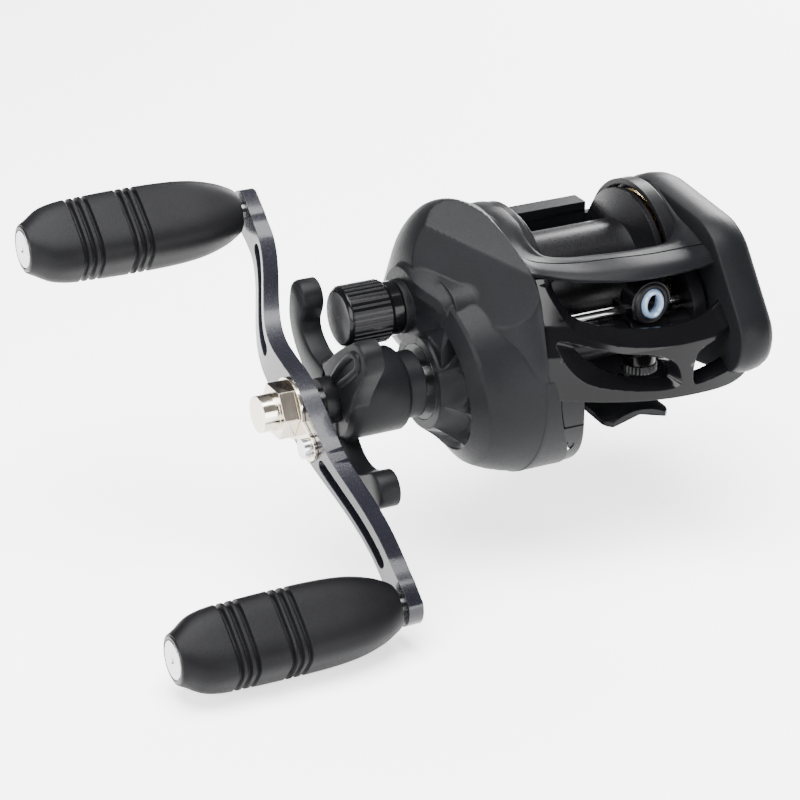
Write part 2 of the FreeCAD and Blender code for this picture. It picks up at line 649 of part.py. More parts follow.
def make_arm():
    thick = size("arm_thick")
    wires = []
    for step in range(-10, 11):
        distance = size("arm_half") * step / 10
        bow, half, outer = arm_station(distance)
        lip = 0.9
        profile = [(outer + lip, -half), (outer, lip - half), (outer, half - lip), (outer + lip, half),
                   (outer + thick, half), (outer + thick, -half)]
        corners = [Vector(x, *along(distance, bow + across)) for x, across in profile]
        wires.append(Part.makePolygon(corners + corners[:1]))
    arm = Part.makeLoft(wires, True, True)
    for side in (-1, 1):
        y, z = along(side * size("arm_half"))
        arm = arm.fuse(Part.makeCylinder(4.6, thick, Vector(size("arm_end"), y, z), Vector(1, 0, 0)))
    hub = Part.makeCylinder(5.6, thick, Vector(size("arm_out"), size("drive_y"), size("drive_z")), Vector(1, 0, 0))
    arm = arm.fuse(hub)
    bore = Part.makeCylinder(2.65, 20, Vector(-70, size("drive_y"), size("drive_z")), Vector(1, 0, 0))
    arm = arm.cut([arm_slot(15, 33), arm_slot(-33, -15), bore])
    for side in (-1, 1):
        y, z = along(side * size("arm_half"))
        arm = arm.cut(Part.makeCylinder(1.75, 20, Vector(-70, y, z), Vector(1, 0, 0)))
    y, z = along(-9.8, arm_station(-9.8)[0])
    arm = arm.cut(Part.makeCylinder(0.85, 20, Vector(-70, y, z), Vector(1, 0, 0)))
    keep(shaped(arm), "handle_arm")


def make_handle_fasteners():
    face = [(5.5 * math.cos(math.pi * step / 3), 5.5 * math.sin(math.pi * step / 3)) for step in range(6)]
    corners = [Vector(-67.8, size("drive_y") + y, size("drive_z") + z) for y, z in face]
    nut = Part.Face(Part.makePolygon(corners + corners[:1])).extrude(Vector(3.2, 0, 0))
    cap = Part.makeCylinder(3.6, 3.2, Vector(-71.0, size("drive_y"), size("drive_z")), Vector(1, 0, 0))
    bore = Part.makeCylinder(2.65, 4.6, Vector(-69.0, size("drive_y"), size("drive_z")), Vector(1, 0, 0))
    keep(shaped(nut.fuse(cap).cut(bore)), "handle_nut")
    y, z = along(-9.8, arm_station(-9.8)[0])
    ring = Part.makeCylinder(6.0, 0.7, Vector(-64.55, size("drive_y"), size("drive_z")), Vector(1, 0, 0))
    tail = Part.makeCylinder(2.6, 0.7, Vector(-64.55, y, z), Vector(1, 0, 0))
    hole = Part.makeCylinder(2.65, 5, Vector(-66, size("drive_y"), size("drive_z")), Vector(1, 0, 0))
    tap = Part.makeCylinder(0.85, 5, Vector(-66, y, z), Vector(1, 0, 0))
    bridge = Part.makeBox(0.7, 11.5, 5.2, Vector(-64.55, -11.5, -2.6))
    bridge.rotate(Vector(-64.55, 0, 0), Vector(1, 0, 0), size("arm_tilt - 9"))
    bridge.translate(Vector(0, size("drive_y"), size("drive_z")))
    keep(shaped(ring.fuse([tail, bridge]).cut([hole, tap])), "nut_retainer")
    head = Part.makeCylinder(1.9, 1.5, Vector(-66.1, y, z), Vector(1, 0, 0))
    shank = Part.makeCylinder(0.8, 4.0, Vector(-64.6, y, z), Vector(1, 0, 0))
    keep(shaped(head.fuse(shank)), "retainer_screw")
    posts = []
    for side in (-1, 1):
        y, z = along(side * size("arm_half"))
        pin = Part.makeCylinder(1.7, 45.5, Vector(-101.0, y, z), Vector(1, 0, 0))
        posts.append(pin.fuse(Part.makeCylinder(2.6, 1.2, Vector(-102.2, y, z), Vector(1, 0, 0))))
    keep(shaped(Part.makeCompound(posts)), "grip_posts")


def make_grip(label, side):
    """One grip: a turned barrel with grooves, flattened above and below, on two bushes."""
    y, z = along(side * size("arm_half"))
    axis = (f"{y:.4f}", f"{z:.4f}")
    profile = [("arm_end - 44.1", "5.3"), ("arm_end - 36.4", "grip_rad")]
    for start, end in ((33.5, 31.5), (30.4, 28.9), (27.5, 26.2), (13.9, 12.3), (10.9, 9.6)):
        profile += [(f"arm_end - {start}", "grip_rad"), (f"arm_end - {start}", "grip_rad - 0.7"),
                    (f"arm_end - {end}", "grip_rad - 0.7"), (f"arm_end - {end}", "grip_rad")]
    profile += [("arm_end - 8", "grip_rad"), ("arm_end - 2.5", "5.8"), ("arm_end - 0.3", "4.2"),
                ("arm_end - 0.3", "2.5"), ("arm_end - 41.4", "2.5"), ("arm_end - 41.4", "4.4"),
                ("arm_end - 44.1", "4.4")]
    barrel = turned(profile, axis)
    thick = size("grip_thick")
    slab = Part.makeBox(46, 24, thick, Vector(size("arm_end") - 46, -12, -thick / 2))
    slab.rotate(Vector(), Vector(1, 0, 0), size("arm_tilt"))
    slab.translate(Vector(0, y, z))
    keep(common(barrel, shaped(slab)), "grip_" + label)
    keep(turned([("arm_end - 44.4", "0"), ("arm_end - 44.4", "3.6"), ("arm_end - 44.1", "4.3"),
                 ("arm_end - 43.2", "4.3"), ("arm_end - 43.2", "0")], axis), "grip_cap_" + label)
    keep(group(*[tube(f"arm_end - {start}", f"arm_end - {end}", "2.5", "1.75", axis)
                 for start, end in ((40.8, 38.8), (2.4, 0.4))]), "grip_bushes_" + label)


# ---------------------------------------------------------------- star drag and tension knob

# The star's three arms: turn from the handle arm's line, reach and width.
STAR_ARMS = ((10, 23.0, 5.2), (170, 22.4, 5.2), (92, 19.5, 6.0))


def make_star():
    hub = turned([("0 - 55.2", "stud_rad + 0.1"), ("0 - 55.2", "7.4"), ("0 - 54.4", "barrel_rad"),
                  ("0 - 43", "barrel_rad"), ("0 - 41.8", "6.6"), ("0 - 38.2", "6.6"),
                  ("0 - 38.2", "stud_rad + 0.1")], DRIVE)
    arms = []
    for turn, reach_out, wide in STAR_ARMS:
        blade = Part.makeBox(size("star_in - star_out"), reach_out - 7, wide,
                             Vector(size("star_out"), 7, -wide / 2))
        blade.rotate(Vector(), Vector(1, 0, 0), size("arm_tilt") + turn)
        arms.append(blade)
    web = Part.makeCylinder(8.3, 3, Vector(-55.0, 0, 0), Vector(1, 0, 0))
    spokes = arms[0].fuse(arms[1:] + [web])
    spokes = spokes.cut(Part.makeCylinder(7.6, 20, Vector(-65, 0, 0), Vector(1, 0, 0)))
    spokes.translate(Vector(0, size("drive_y"), size("drive_z")))
    keep(fuse(hub, shaped(spokes)), "star_drag")
    keep(tube("0 - 58.4", "0 - 55.4", "4.6", "stud_rad + 0.1", DRIVE), "drag_spring_stack")


def make_knob():
    shape = knurled(size("knob_rad"), int(size("knob_ridges")), 0.4, 10.1)
    shape.rotate(Vector(), Vector(0, 1, 0), 90)
    shape.translate(Vector(size("knob_out"), 0, size("spool_z")))
    collar = Part.makeCylinder(5.3, 2.3, Vector(-41.0, 0, size("spool_z")), Vector(1, 0, 0))
    bore = Part.makeCylinder(4.5, 12, Vector(-48.0, 0, size("spool_z")), Vector(1, 0, 0))
    keep(shaped(shape.fuse(collar).cut(bore)), "tension_knob")


def make_dial():
    keep(turned([("26.7", "0"), ("26.7", "8"), ("27.6", "8"), ("28.0", "7.4"), ("28.0", "0")]), "brake_dial")
    keep(rod("21.5", "26.7", "2"), "dial_stem")


make_frame()
make_foot()
make_gear_frame()
make_nose()
make_hood()
make_gear_cover()
make_palm_cover()
make_case_fasteners()
make_spool()
make_bearings()
make_drive()
make_clutch()
make_level_wind()
make_carriage()
make_arm()
make_handle_fasteners()
make_grip("rear", 1)
make_grip("front", -1)
make_star()
make_knob()
make_dial()

doc.recompute()
for item in doc.Objects:
    if "Invalid" in item.State or "Error" in item.State:
        raise RuntimeError(f"{item.Name} ({item.Label}) did not compute: {item.State}")
os.makedirs("parts", exist_ok=True)
for part in subparts:
    if part.Shape.isNull() or not part.Shape.isValid():
        raise RuntimeError(f"{part.Label} has no valid shape")
    part.Shape.exportStep(os.path.join("parts", part.Label + ".step"))
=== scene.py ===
import json
import math

import bmesh
import bpy
from mathutils import Matrix, Vector
from mathutils.geometry import tessellate_polygon


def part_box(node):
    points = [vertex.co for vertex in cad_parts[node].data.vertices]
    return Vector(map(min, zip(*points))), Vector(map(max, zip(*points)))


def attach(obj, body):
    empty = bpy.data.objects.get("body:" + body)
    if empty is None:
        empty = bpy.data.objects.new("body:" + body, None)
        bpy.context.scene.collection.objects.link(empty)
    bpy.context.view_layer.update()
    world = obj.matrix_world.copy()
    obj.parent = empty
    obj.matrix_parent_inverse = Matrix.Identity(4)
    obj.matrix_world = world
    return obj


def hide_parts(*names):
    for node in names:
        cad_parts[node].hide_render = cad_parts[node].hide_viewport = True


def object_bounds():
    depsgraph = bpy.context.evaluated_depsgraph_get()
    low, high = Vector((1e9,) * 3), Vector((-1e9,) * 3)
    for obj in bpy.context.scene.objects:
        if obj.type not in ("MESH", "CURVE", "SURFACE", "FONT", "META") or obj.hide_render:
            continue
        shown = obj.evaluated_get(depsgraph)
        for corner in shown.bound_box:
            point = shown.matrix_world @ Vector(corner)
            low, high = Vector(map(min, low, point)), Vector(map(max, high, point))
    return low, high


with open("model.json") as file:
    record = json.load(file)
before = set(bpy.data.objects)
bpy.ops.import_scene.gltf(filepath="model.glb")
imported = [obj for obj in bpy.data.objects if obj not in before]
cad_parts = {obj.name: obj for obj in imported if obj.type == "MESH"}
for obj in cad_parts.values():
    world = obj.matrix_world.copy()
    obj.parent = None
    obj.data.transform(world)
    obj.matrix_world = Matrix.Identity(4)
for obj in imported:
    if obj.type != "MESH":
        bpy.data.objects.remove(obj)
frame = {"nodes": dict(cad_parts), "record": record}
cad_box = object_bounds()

# ---- Camera, floor and light -------------------------------------------------
# A long lens looks a little down on the handle side and the front, as for a catalogue shot.
# The floor is a plain pale sheet, and the light is a soft white tent with a few large panels.
MM = 0.001
VIEW_TURN = math.radians(-26.7)
VIEW_LIFT = math.radians(24.6)


def middle(node):
    """The middle of a CAD node's box, in millimetres."""
    low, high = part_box(node)
    return [(a + b) / 2 / MM for a, b in zip(low, high)]


def put_camera():
    """The camera, aimed from a point on the handle arm and shifted to frame the whole reel."""
    right = Vector((math.cos(VIEW_TURN), math.sin(VIEW_TURN), 0))
    back = Vector((math.sin(VIEW_TURN) * math.cos(VIEW_LIFT), -math.cos(VIEW_TURN) * math.cos(VIEW_LIFT),
                   math.sin(VIEW_LIFT)))
    up = back.cross(right)
    anchor = Vector((-59.4, -7.0, 7.3)) * MM
    distance = 0.5522
    place = anchor + right * (0.030 * distance) + up * (0.001 * distance) + back * distance
    data = bpy.data.cameras.new("camera")
    data.lens = 130.5
    data.sensor_width = 36
    camera = bpy.data.objects.new("camera", data)
    turn = Matrix((right, up, back)).transposed().to_4x4()
    camera.matrix_world = Matrix.Translation(place) @ turn
    bpy.context.scene.collection.objects.link(camera)
    bpy.context.scene.camera = camera


def put_panel(name, place, aim, size, watts):
    """A square soft light aimed at a point."""
    data = bpy.data.lights.new(name, "AREA")
    data.size = size
    data.energy = watts
    panel = bpy.data.objects.new(name, data)
    panel.location = place
    panel.rotation_euler = (Vector(aim) - Vector(place)).to_track_quat("-Z", "Y").to_euler()
    bpy.context.scene.collection.objects.link(panel)


def put_world():
    """An even white tent that shows as clean white behind the reel."""
    world = bpy.data.worlds.new("tent")
    bpy.context.scene.world = world
    world.use_nodes = True
    tree = world.node_tree
    tree.nodes.clear()
    out = tree.nodes.new("ShaderNodeOutputWorld")
    sky = tree.nodes.new("ShaderNodeBackground")
    sky.inputs["Color"].default_value = (1, 1, 1, 1)
    sky.inputs["Strength"].default_value = 0.3
    tree.links.new(sky.outputs[0], out.inputs["Surface"])


def put_floor(height):
    """A pale matte sheet just under the lowest grip."""
    mesh = bpy.data.meshes.new("floor")
    span = 6.0
    corners = [(-span, -span, height), (span, -span, height), (span, span, height), (-span, span, height)]
    mesh.from_pydata(corners, [], [(0, 1, 2, 3)])
    floor = bpy.data.objects.new("floor", mesh)
    bpy.context.scene.collection.objects.link(floor)
    material = bpy.data.materials.new("floor_white")
    material.use_nodes = True
    shader = material.node_tree.nodes["Principled BSDF"]
    shader.inputs["Base Color"].default_value = (0.95, 0.95, 0.95, 1)
    shader.inputs["Roughness"].default_value = 0.9
    shader.inputs["Emission Color"].default_value = (1, 1, 1, 1)
    shader.inputs["Emission Strength"].default_value = 1.5
    mesh.materials.append(material)


put_camera()
put_world()
put_floor(cad_box[0][2] - 0.0002)
put_panel("top_panel", (-0.1, -0.05, 0.55), (0, 0, 0), 0.5, 16)
put_panel("left_panel", (-0.55, -0.25, 0.2), (-0.02, 0, 0), 0.35, 6.0)
put_panel("front_panel", (0.15, -0.6, 0.12), (0, 0, 0.01), 0.3, 3.0)
put_panel("rear_panel", (0.45, 0.4, 0.3), (0, 0, 0.01), 0.3, 9.0)

# ---- Finishes of the CAD pieces ----------------------------------------------
# Turned steel, brass and nickel, satin black die-casting, moulded plastic and rubber.
# Each has fine grain, uneven gloss and a slightly softened edge.
PATCH_SCALE = 60.0
PATCH_SHADE = 0.25


def finish(name, colour, rough, metal=0.0, grain=900.0, bump=0.06, spread=0.12, edge=0.15,
           coat=0.0, coat_rough=0.1, stretch=(1, 1, 1), level=0.5):
    """A material with a fine grain in its height, and slow patches in its colour and gloss."""
    material = bpy.data.materials.new(name)
    material.use_nodes = True
    tree = material.node_tree
    shader = tree.nodes["Principled BSDF"]
    shader.inputs["Metallic"].default_value = metal
    shader.inputs["Specular IOR Level"].default_value = level
    shader.inputs["Coat Weight"].default_value = coat
    shader.inputs["Coat Roughness"].default_value = coat_rough
    place = tree.nodes.new("ShaderNodeTexCoord")
    spin = tree.nodes.new("ShaderNodeMapping")
    spin.inputs["Scale"].default_value = stretch
    tree.links.new(place.outputs["Object"], spin.inputs["Vector"])
    slow = tree.nodes.new("ShaderNodeTexNoise")
    slow.inputs["Scale"].default_value = PATCH_SCALE
    slow.inputs["Detail"].default_value = 6
    tree.links.new(place.outputs["Object"], slow.inputs["Vector"])
    fine = tree.nodes.new("ShaderNodeTexNoise")
    fine.inputs["Scale"].default_value = grain
    fine.inputs["Detail"].default_value = 4
    tree.links.new(spin.outputs["Vector"], fine.inputs["Vector"])
    tint = tree.nodes.new("ShaderNodeValToRGB")
    dark = [value * (1 - PATCH_SHADE) for value in colour]
    light = [min(value * (1 + PATCH_SHADE), 1) for value in colour]
    tint.color_ramp.elements[0].position = 0.3
    tint.color_ramp.elements[0].color = (*dark, 1)
    tint.color_ramp.elements[1].position = 0.7
    tint.color_ramp.elements[1].color = (*light, 1)
    tree.links.new(slow.outputs["Fac"], tint.inputs["Fac"])
    tree.links.new(tint.outputs["Color"], shader.inputs["Base Color"])
    gloss = tree.nodes.new("ShaderNodeMapRange")
    gloss.inputs["To Min"].default_value = max(rough - spread, 0.02)
    gloss.inputs["To Max"].default_value = min(rough + spread, 1)
    tree.links.new(fine.outputs["Fac"], gloss.inputs["Value"])
    tree.links.new(gloss.outputs["Result"], shader.inputs["Roughness"])
    soft = tree.nodes.new("ShaderNodeBevel")
    soft.inputs["Radius"].default_value = edge * MM
    relief = tree.nodes.new("ShaderNodeBump")
    relief.inputs["Strength"].default_value = bump
    relief.inputs["Distance"].default_value = 0.1 * MM
    tree.links.new(fine.outputs["Fac"], relief.inputs["Height"])
    tree.links.new(soft.outputs["Normal"], relief.inputs["Normal"])
    tree.links.new(relief.outputs["Normal"], shader.inputs["Normal"])
    return material


finishes = {
    "case_black": finish("case_black", (0.0045, 0.0047, 0.0055), 0.42, grain=2500, bump=0.25, edge=0.3,
                         level=0.08),
    "gloss_black": finish("gloss_black", (0.002, 0.002, 0.0024), 0.14, grain=400, bump=0.015, spread=0.04,
                          edge=0.3, level=0.12, coat=0.04),
    "frame_black": finish("frame_black", (0.004, 0.004, 0.0048), 0.34, grain=2200, bump=0.15,
                          edge=0.25, level=0.1),
    "arm_black": finish("arm_black", (0.008, 0.008, 0.012), 0.24, metal=0.25, grain=3000, bump=0.12,
                        edge=0.3, coat=0.25, coat_rough=0.12, level=0.3),
    # spool_dark is the spool's own dark metal, but its colour is also darkened further as painted shade, so
    # the drum looks shadowed under the hood
    "spool_dark": finish("spool_dark", (0.006, 0.006, 0.007), 0.3, metal=0.5, level=0.2, grain=1500,
                         stretch=(6, 1, 1)),
    "steel": finish("steel", (0.5, 0.5, 0.51), 0.2, metal=1.0, grain=1800, bump=0.05, stretch=(8, 1, 1)),
    "nickel": finish("nickel", (0.6, 0.54, 0.46), 0.14, metal=1.0, grain=700, bump=0.03, spread=0.06,
                     edge=0.25),
    "brass": finish("brass", (0.7, 0.5, 0.2), 0.25, metal=1.0, grain=1500),
    "bronze": finish("bronze", (0.45, 0.3, 0.16), 0.4, metal=1.0, grain=2500, bump=0.2),
    "grip_rubber": finish("grip_rubber", (0.0042, 0.0042, 0.0048), 0.46, grain=3000, bump=0.3,
                          edge=0.25, level=0.08),
    "cap_silver": finish("cap_silver", (0.5, 0.5, 0.52), 0.28, metal=1.0, grain=1500, bump=0.04),
    "eye_ceramic": finish("eye_ceramic", (0.12, 0.17, 0.25), 0.14, grain=300, bump=0.01, spread=0.03,
                          coat=0.6, coat_rough=0.05, level=0.4),
    "carbon": finish("carbon", (0.02, 0.02, 0.02), 0.45, grain=3500, bump=0.3),
    "dial_black": finish("dial_black", (0.004, 0.004, 0.0046), 0.32, grain=2500, bump=0.12, edge=0.12,
                         level=0.18),
    "knob_spun": finish("knob_spun", (0.09, 0.09, 0.095), 0.35, metal=0.9, grain=1500, bump=0.05),
    "brake_poly": finish("brake_poly", (0.4, 0.05, 0.04), 0.4, grain=1500),
}
for part in frame["record"]["subparts"]:
    material = finishes[part["material_slot"]]
    mesh = frame["nodes"][part["node"]].data
    mesh.materials.clear()
    mesh.materials.append(material)

# ---- Gear-side cover ----------------------------------------------------------
# One matte moulding closes the gear case: a dome beside the spool, a round drum over the drive gear
# with nine scooped petals round the handle shaft, and a boss that carries the tension knob's thread.


def taut(circles, centre, count=144):
    """The taut outline round several (y, z, radius) circles, at equal angles from a centre."""
    cloud = []
    for y, z, radius in circles:
        for step in range(90):
            turn = math.tau * step / 90
            cloud.append((y + radius * math.cos(turn), z + radius * math.sin(turn)))
    cloud.sort()
    hull = []
    for points in (cloud, cloud[::-1]):
        start = len(hull)
        for point in points:
            while len(hull) >= start + 2 and bend(hull[-2], hull[-1], point) <= 0:
                hull.pop()
            hull.append(point)
        hull.pop()
    return [ray_hit(hull, centre, math.tau * step / count) for step in range(count)]


def bend(a, b, c):
    """Twice the signed area of three points."""
    return (b[0] - a[0]) * (c[1] - a[1]) - (b[1] - a[1]) * (c[0] - a[0])


def ray_hit(hull, centre, turn):
    """Where a ray from the centre crosses a convex outline."""
    dy, dz = math.cos(turn), math.sin(turn)
    for index, (y0, z0) in enumerate(hull):
        y1, z1 = hull[(index + 1) % len(hull)]
        wide = (y1 - y0) * dz - (z1 - z0) * dy
        if abs(wide) < 1e-9:
            continue
        share = ((centre[0] - y0) * dz - (centre[1] - z0) * dy) / wide
        y, z = y0 + share * (y1 - y0), z0 + share * (z1 - z0)
        if 0 <= share <= 1 and (y - centre[0]) * dy + (z - centre[1]) * dz > 0:
            return y, z
    return centre


def sleeve(rings, closed=True):
    """Faces across a stack of equal rings, with the ends drawn to a middle point if closed."""
    corners = [tuple(corner) for ring in rings for corner in ring]
    count = len(rings[0])
    faces = []
    for row in range(len(rings) - 1):
        for step in range(count):
            following = (step + 1) % count
            faces.append((row * count + step, row * count + following,
                          (row + 1) * count + following, (row + 1) * count + step))
    if closed:
        for row in (0, len(rings) - 1):
            pole = len(corners)
            corners.append(tuple(sum(values) / count for values in zip(*rings[row])))
            faces += [(row * count + step, row * count + (step + 1) % count, pole) for step in range(count)]
    return corners, faces


def joined(*shells):
    """Several shells as one list of corners and faces."""
    corners, faces = [], []
    for some_corners, some_faces in shells:
        base = len(corners)
        corners += some_corners
        faces += [tuple(base + number for number in face) for face in some_faces]
    return corners, faces


def piece(name, shell, slot, body, *nodes, bevel=0.25, sharp=28, thick=0.0, segments=2, paint=None):
    """A finished piece from millimetre corners, with softened edges, that stands for CAD nodes."""
    mesh = bpy.data.meshes.new(name)
    mesh.from_pydata([Vector(corner) * MM for corner in shell[0]], [], shell[1])
    work = bmesh.new()
    work.from_mesh(mesh)
    bmesh.ops.remove_doubles(work, verts=work.verts, dist=0.00001)
    bmesh.ops.recalc_face_normals(work, faces=work.faces)
    work.to_mesh(mesh)
    work.free()
    mesh.polygons.foreach_set("use_smooth", [True] * len(mesh.polygons))
    mesh.set_sharp_from_angle(angle=math.radians(sharp))
    mesh.materials.append(finishes[paint or slot])
    made = bpy.data.objects.new(name, mesh)
    bpy.context.scene.collection.objects.link(made)
    if thick:
        wall = made.modifiers.new("wall", "SOLIDIFY")
        wall.thickness = thick * MM
        wall.offset = -1.0
        wall.use_even_offset = True
    if bevel:
        edge = made.modifiers.new("edge", "BEVEL")
        edge.width = bevel * MM
        edge.segments = segments
        edge.limit_method = "ANGLE"
        edge.angle_limit = math.radians(sharp)
        edge.harden_normals = True
    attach(made, body)
    if nodes:
        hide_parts(*nodes)
    return made


spool_axis = middle("spool")[1:]
drive_axis = middle("drive_shaft")[1:]
DOME = [(0.0, 20.5, 19.1, 0.0), (-14.0, 22.5, 13.2, 0.85), (-15.0, 13.5, 14.6, 1.15),
        (9.5, 15.5, 12.8, 0.0)]
DOME_RUN = [(-19.85, 2.2), (-20.0, 1.7), (-21.5, 1.0), (-23.5, 0.2), (-25.5, 0.0), (-27.5, 0.4),
            (-29.5, 1.6), (-31.5, 3.4), (-33.2, 5.6), (-34.6, 8.0), (-35.6, 10.6), (-36.2, 13.2)]
FACETS = [(Vector((-0.305, -0.362, 0.88)), 41.1), (Vector((-0.669, -0.489, 0.56)), 40.9)]


def dome_shell():
    """The dome: a taut outline drawn in along X, with two flat facets over its front shoulder."""
    rings = []
    for x, inset in DOME_RUN:
        retreat = max(0, -20.4 - x)
        circles = [(y, z, max(radius - inset - slope * retreat, 0.4)) for y, z, radius, slope in DOME]
        rings.append([(x, y, z) for y, z in taut(circles, (-3, 19), 240)])
    rings = [[strand_point(column, place) for column in zip(*rings)] for place in range(0, 45)]
    for outward, reach in FACETS:
        rings = [[flattened(point, outward, reach) for point in ring] for ring in rings]
    return sleeve(rings)


def between(before, start, stop, after, share):
    """A point on the smooth line from start to stop that also heeds the points before and after."""
    return tuple(0.5 * (2 * b + (c - a) * share + (2 * a - 5 * b + 4 * c - d) * share ** 2
                        + (3 * b - a - 3 * c + d) * share ** 3)
                 for a, b, c, d in zip(before, start, stop, after))


def strand_point(column, place):
    """A point a quarter of the way at a time along a smooth line through a column of stations."""
    index = min(place // 4, len(column) - 2)
    around = [column[min(max(index + shift, 0), len(column) - 1)] for shift in (-1, 0, 1, 2)]
    return between(*around, place / 4 - index)


def flattened(point, outward, reach):
    """The point, or its foot on a facet's plane if it stands outside it."""
    over = outward.dot(Vector(point)) - reach
    return tuple(Vector(point) - outward * over) if over > 0 else point


def turned_ring(profile, axis, count, scoop=None, lean=0.0):
    """A ring turned about an axis along X from (x, radius, scoop depth, lean share) stations."""
    rings = []
    for x, radius, depth, share in profile:
        ring = []
        for step in range(count):
            turn = math.tau * step / count
            dip = depth * scoop(turn) if scoop else 0
            up = radius * math.sin(turn)
            ring.append((x + dip - lean * share * up, axis[0] + radius * math.cos(turn), axis[1] + up))
        rings.append(ring)
    return sleeve(rings, closed=False)


def petal(turn):
    """How deep the petals are scooped at an angle: rounded hollows between sharp ridges."""
    return abs(math.sin(4.5 * (turn + 0.2))) ** 0.7


DRUM = [(-19.6, 21.25, 0, 0), (-20.0, 21.2, 0, 0.1), (-24.0, 20.4, 0, 0.4), (-27.5, 19.5, 0, 0.7),
        (-30.4, 18.5, 0, 1), (-31.1, 18.0, 0, 1), (-32.4, 15.9, 0, 1), (-33.2, 14.6, 0, 0.9),
        (-33.3, 14.3, 0.5, 0.9), (-34.0, 13.2, 2.3, 0.7), (-34.8, 12.0, 3.1, 0.5),
        (-35.7, 10.9, 2.5, 0.3), (-36.4, 10.0, 0.8, 0.1), (-36.8, 9.5, 0, 0), (-36.9, 9.3, 0, 0),
        (-36.9, 7.6, 0, 0), (-31.0, 7.6, 0, 0)]


def opened(shell, low, high):
    """The shell without its hidden faces in a box, which leaves room inside for a moving part."""
    corners, faces = shell
    inside = {index for index, corner in enumerate(corners)
              if all(low[axis] < corner[axis] < high[axis] for axis in range(3))}
    return corners, [face for face in faces if not inside.intersection(face)]


BOSS_RUN = [(-27.0, 3.0), (-30.0, 1.7), (-33.0, 1.3), (-34.6, 1.1), (-35.6, 0.3), (-36.3, 0.0),
            (-36.9, -0.5), (-37.0, -2.2)]


def boss_shell():
    """The tension knob's boss, drawn out into a keel that runs down on to the drum."""
    rings = []
    for x, grow in BOSS_RUN:
        outline = taut([(*spool_axis, 8.2 + grow), (-9.6, 21.6, 4.6 + grow)], (-4, 20), 96)
        ring = []
        for y, z in outline:
            away = max(0, math.hypot(y - spool_axis[0], z - spool_axis[1]) - 8.2)
            ring.append((x + 0.5 * away if x < -33 else x, y, z))
        rings.append(ring)
    return sleeve(rings)


def skirt_shell(near, far, radius, gap):
    """The part of the drum's wall below the nose, between two slanted edges along the axis."""
    rings = []
    for step in range(73):
        turn = math.radians(168 + 150 * step / 72)
        slant = 0.5 - 0.5 * math.cos(math.pi * min(max((step / 72 * 150 - 10) / 60, 0), 1))
        front = near[0] + (near[1] - near[0]) * slant
        back = far[0] + (far[1] - far[0]) * slant
        rings.append([(x, drive_axis[0] + r * math.cos(turn), drive_axis[1] + r * math.sin(turn))
                      for x, r in ((front, radius - 3), (front, radius), (back - gap, radius + 0.05),
                                   (back, radius + 0.05 - gap), (back, radius - 3))])
    return sleeve(rings)


neck = turned_ring([(-36.5, 5.4, 0, 0), (-38.3, 5.4, 0, 0), (-38.5, 5.2, 0, 0), (-38.5, 4.4, 0, 0),
                    (-44.0, 4.4, 0, 0), (-44.0, 3.2, 0, 0)], spool_axis, 64)
drum = opened(turned_ring(DRUM, drive_axis, 216, petal, 0.15), (-34.6, -4.4, 16.7), (-30.2, 8.9, 24.3))
piece("cover_gear_side", joined(dome_shell(), drum, boss_shell(),
                                skirt_shell((-20.2, -20.2), (-17.1, -11.4), 21.2, 0.15), neck),
      "case_black", "reel", "gear_side_cover", bevel=0.25, sharp=20)
piece("gear_case_floor", skirt_shell((-16.9, -11.2), (-11.6, -9.0), 20.9, 0.3), "frame_black", "reel",
      bevel=0.2)


# ---- Hood ---------------------------------------------------------------------
# A matte moulding round the spool opening: a sloped brow in front and a broad rail over each side,
# higher on the palm side. A fine joint parts it from the apron over the front window.


def strand(points, count):
    """A smooth open line through given points, as equal steps along its index."""
    line = []
    last = len(points) - 1
    for step in range(count + 1):
        place = last * step / count
        index = min(int(place), last - 1)
        around = [points[min(max(index + shift, 0), last)] for shift in (-1, 0, 1, 2)]
        line.append(between(*around, place - index))
    return line


def skin(rows, along, across):
    """A smooth sheet through a few given lines, as a grid of corners and faces."""
    lines = [strand(row, along) for row in rows]
    grid = [strand(list(cut_line), across) for cut_line in zip(*lines)]
    corners = [corner for line in grid for corner in line]
    width = across + 1
    faces = [(row * width + step, row * width + step + 1, (row + 1) * width + step + 1,
              (row + 1) * width + step) for row in range(along) for step in range(across)]
    return corners, faces


# Each line runs from the rear of the handle side, round the front, to the rear of the palm side.
HOOD_LIP = [(-14.3, 15.5, 26), (-14.3, 12.5, 30.5), (-14.3, 7.5, 34.4), (-14.3, 0, 36.1),
            (-14.3, -6, 35.3), (-14.3, -10, 33), (-12.6, -12.4, 30.8), (-8.5, -13.3, 29.6),
            (-1.6, -14, 29), (6, -14.2, 28.7), (11.6, -14.4, 28.8), (15, -13.2, 29.6), (16.6, -10.2, 32.2),
            (16.8, -5, 34.6), (16.8, 0, 35.4), (16.8, 7.5, 33.4), (16.8, 12.5, 29.4), (16.8, 15.8, 24.8)]
HOOD_RIM = [(-15, 16.4, 26.4), (-15, 13.2, 31.4), (-15, 8, 35.6), (-15, 0, 37.2), (-15.2, -6.2, 36.2),
            (-15.4, -10.6, 33.8), (-13.8, -13.4, 31.7), (-9.2, -14.6, 30.8), (-1.6, -15.4, 30.4),
            (6, -15.6, 30.1), (12.2, -15.7, 30.3), (16.2, -14.2, 31.9), (17.9, -10.8, 33.6),
            (18.1, -5.2, 36), (18.1, 0, 36.8), (18.1, 8, 34.8), (18.1, 13.2, 30.6), (18.1, 17, 25.4)]
HOOD_CREST = [(-17.6, 16.6, 26.6), (-17.6, 13.4, 31.5), (-17.6, 8, 35.8), (-17.6, 0, 37.5),
              (-17.6, -6.4, 36.4), (-17.4, -11.4, 33.6), (-14.6, -14, 31.6), (-9.4, -16.6, 31.2),
              (-1.6, -18, 31.2), (6, -18.2, 31.1), (13.4, -18, 31.2), (18.6, -16.4, 32.4),
              (21.2, -12, 34.2), (21.6, -5.6, 36.4), (21.6, 0, 36.9), (21.4, 8.2, 35), (21.2, 13.6, 30.6),
              (21, 17.6, 25.2)]
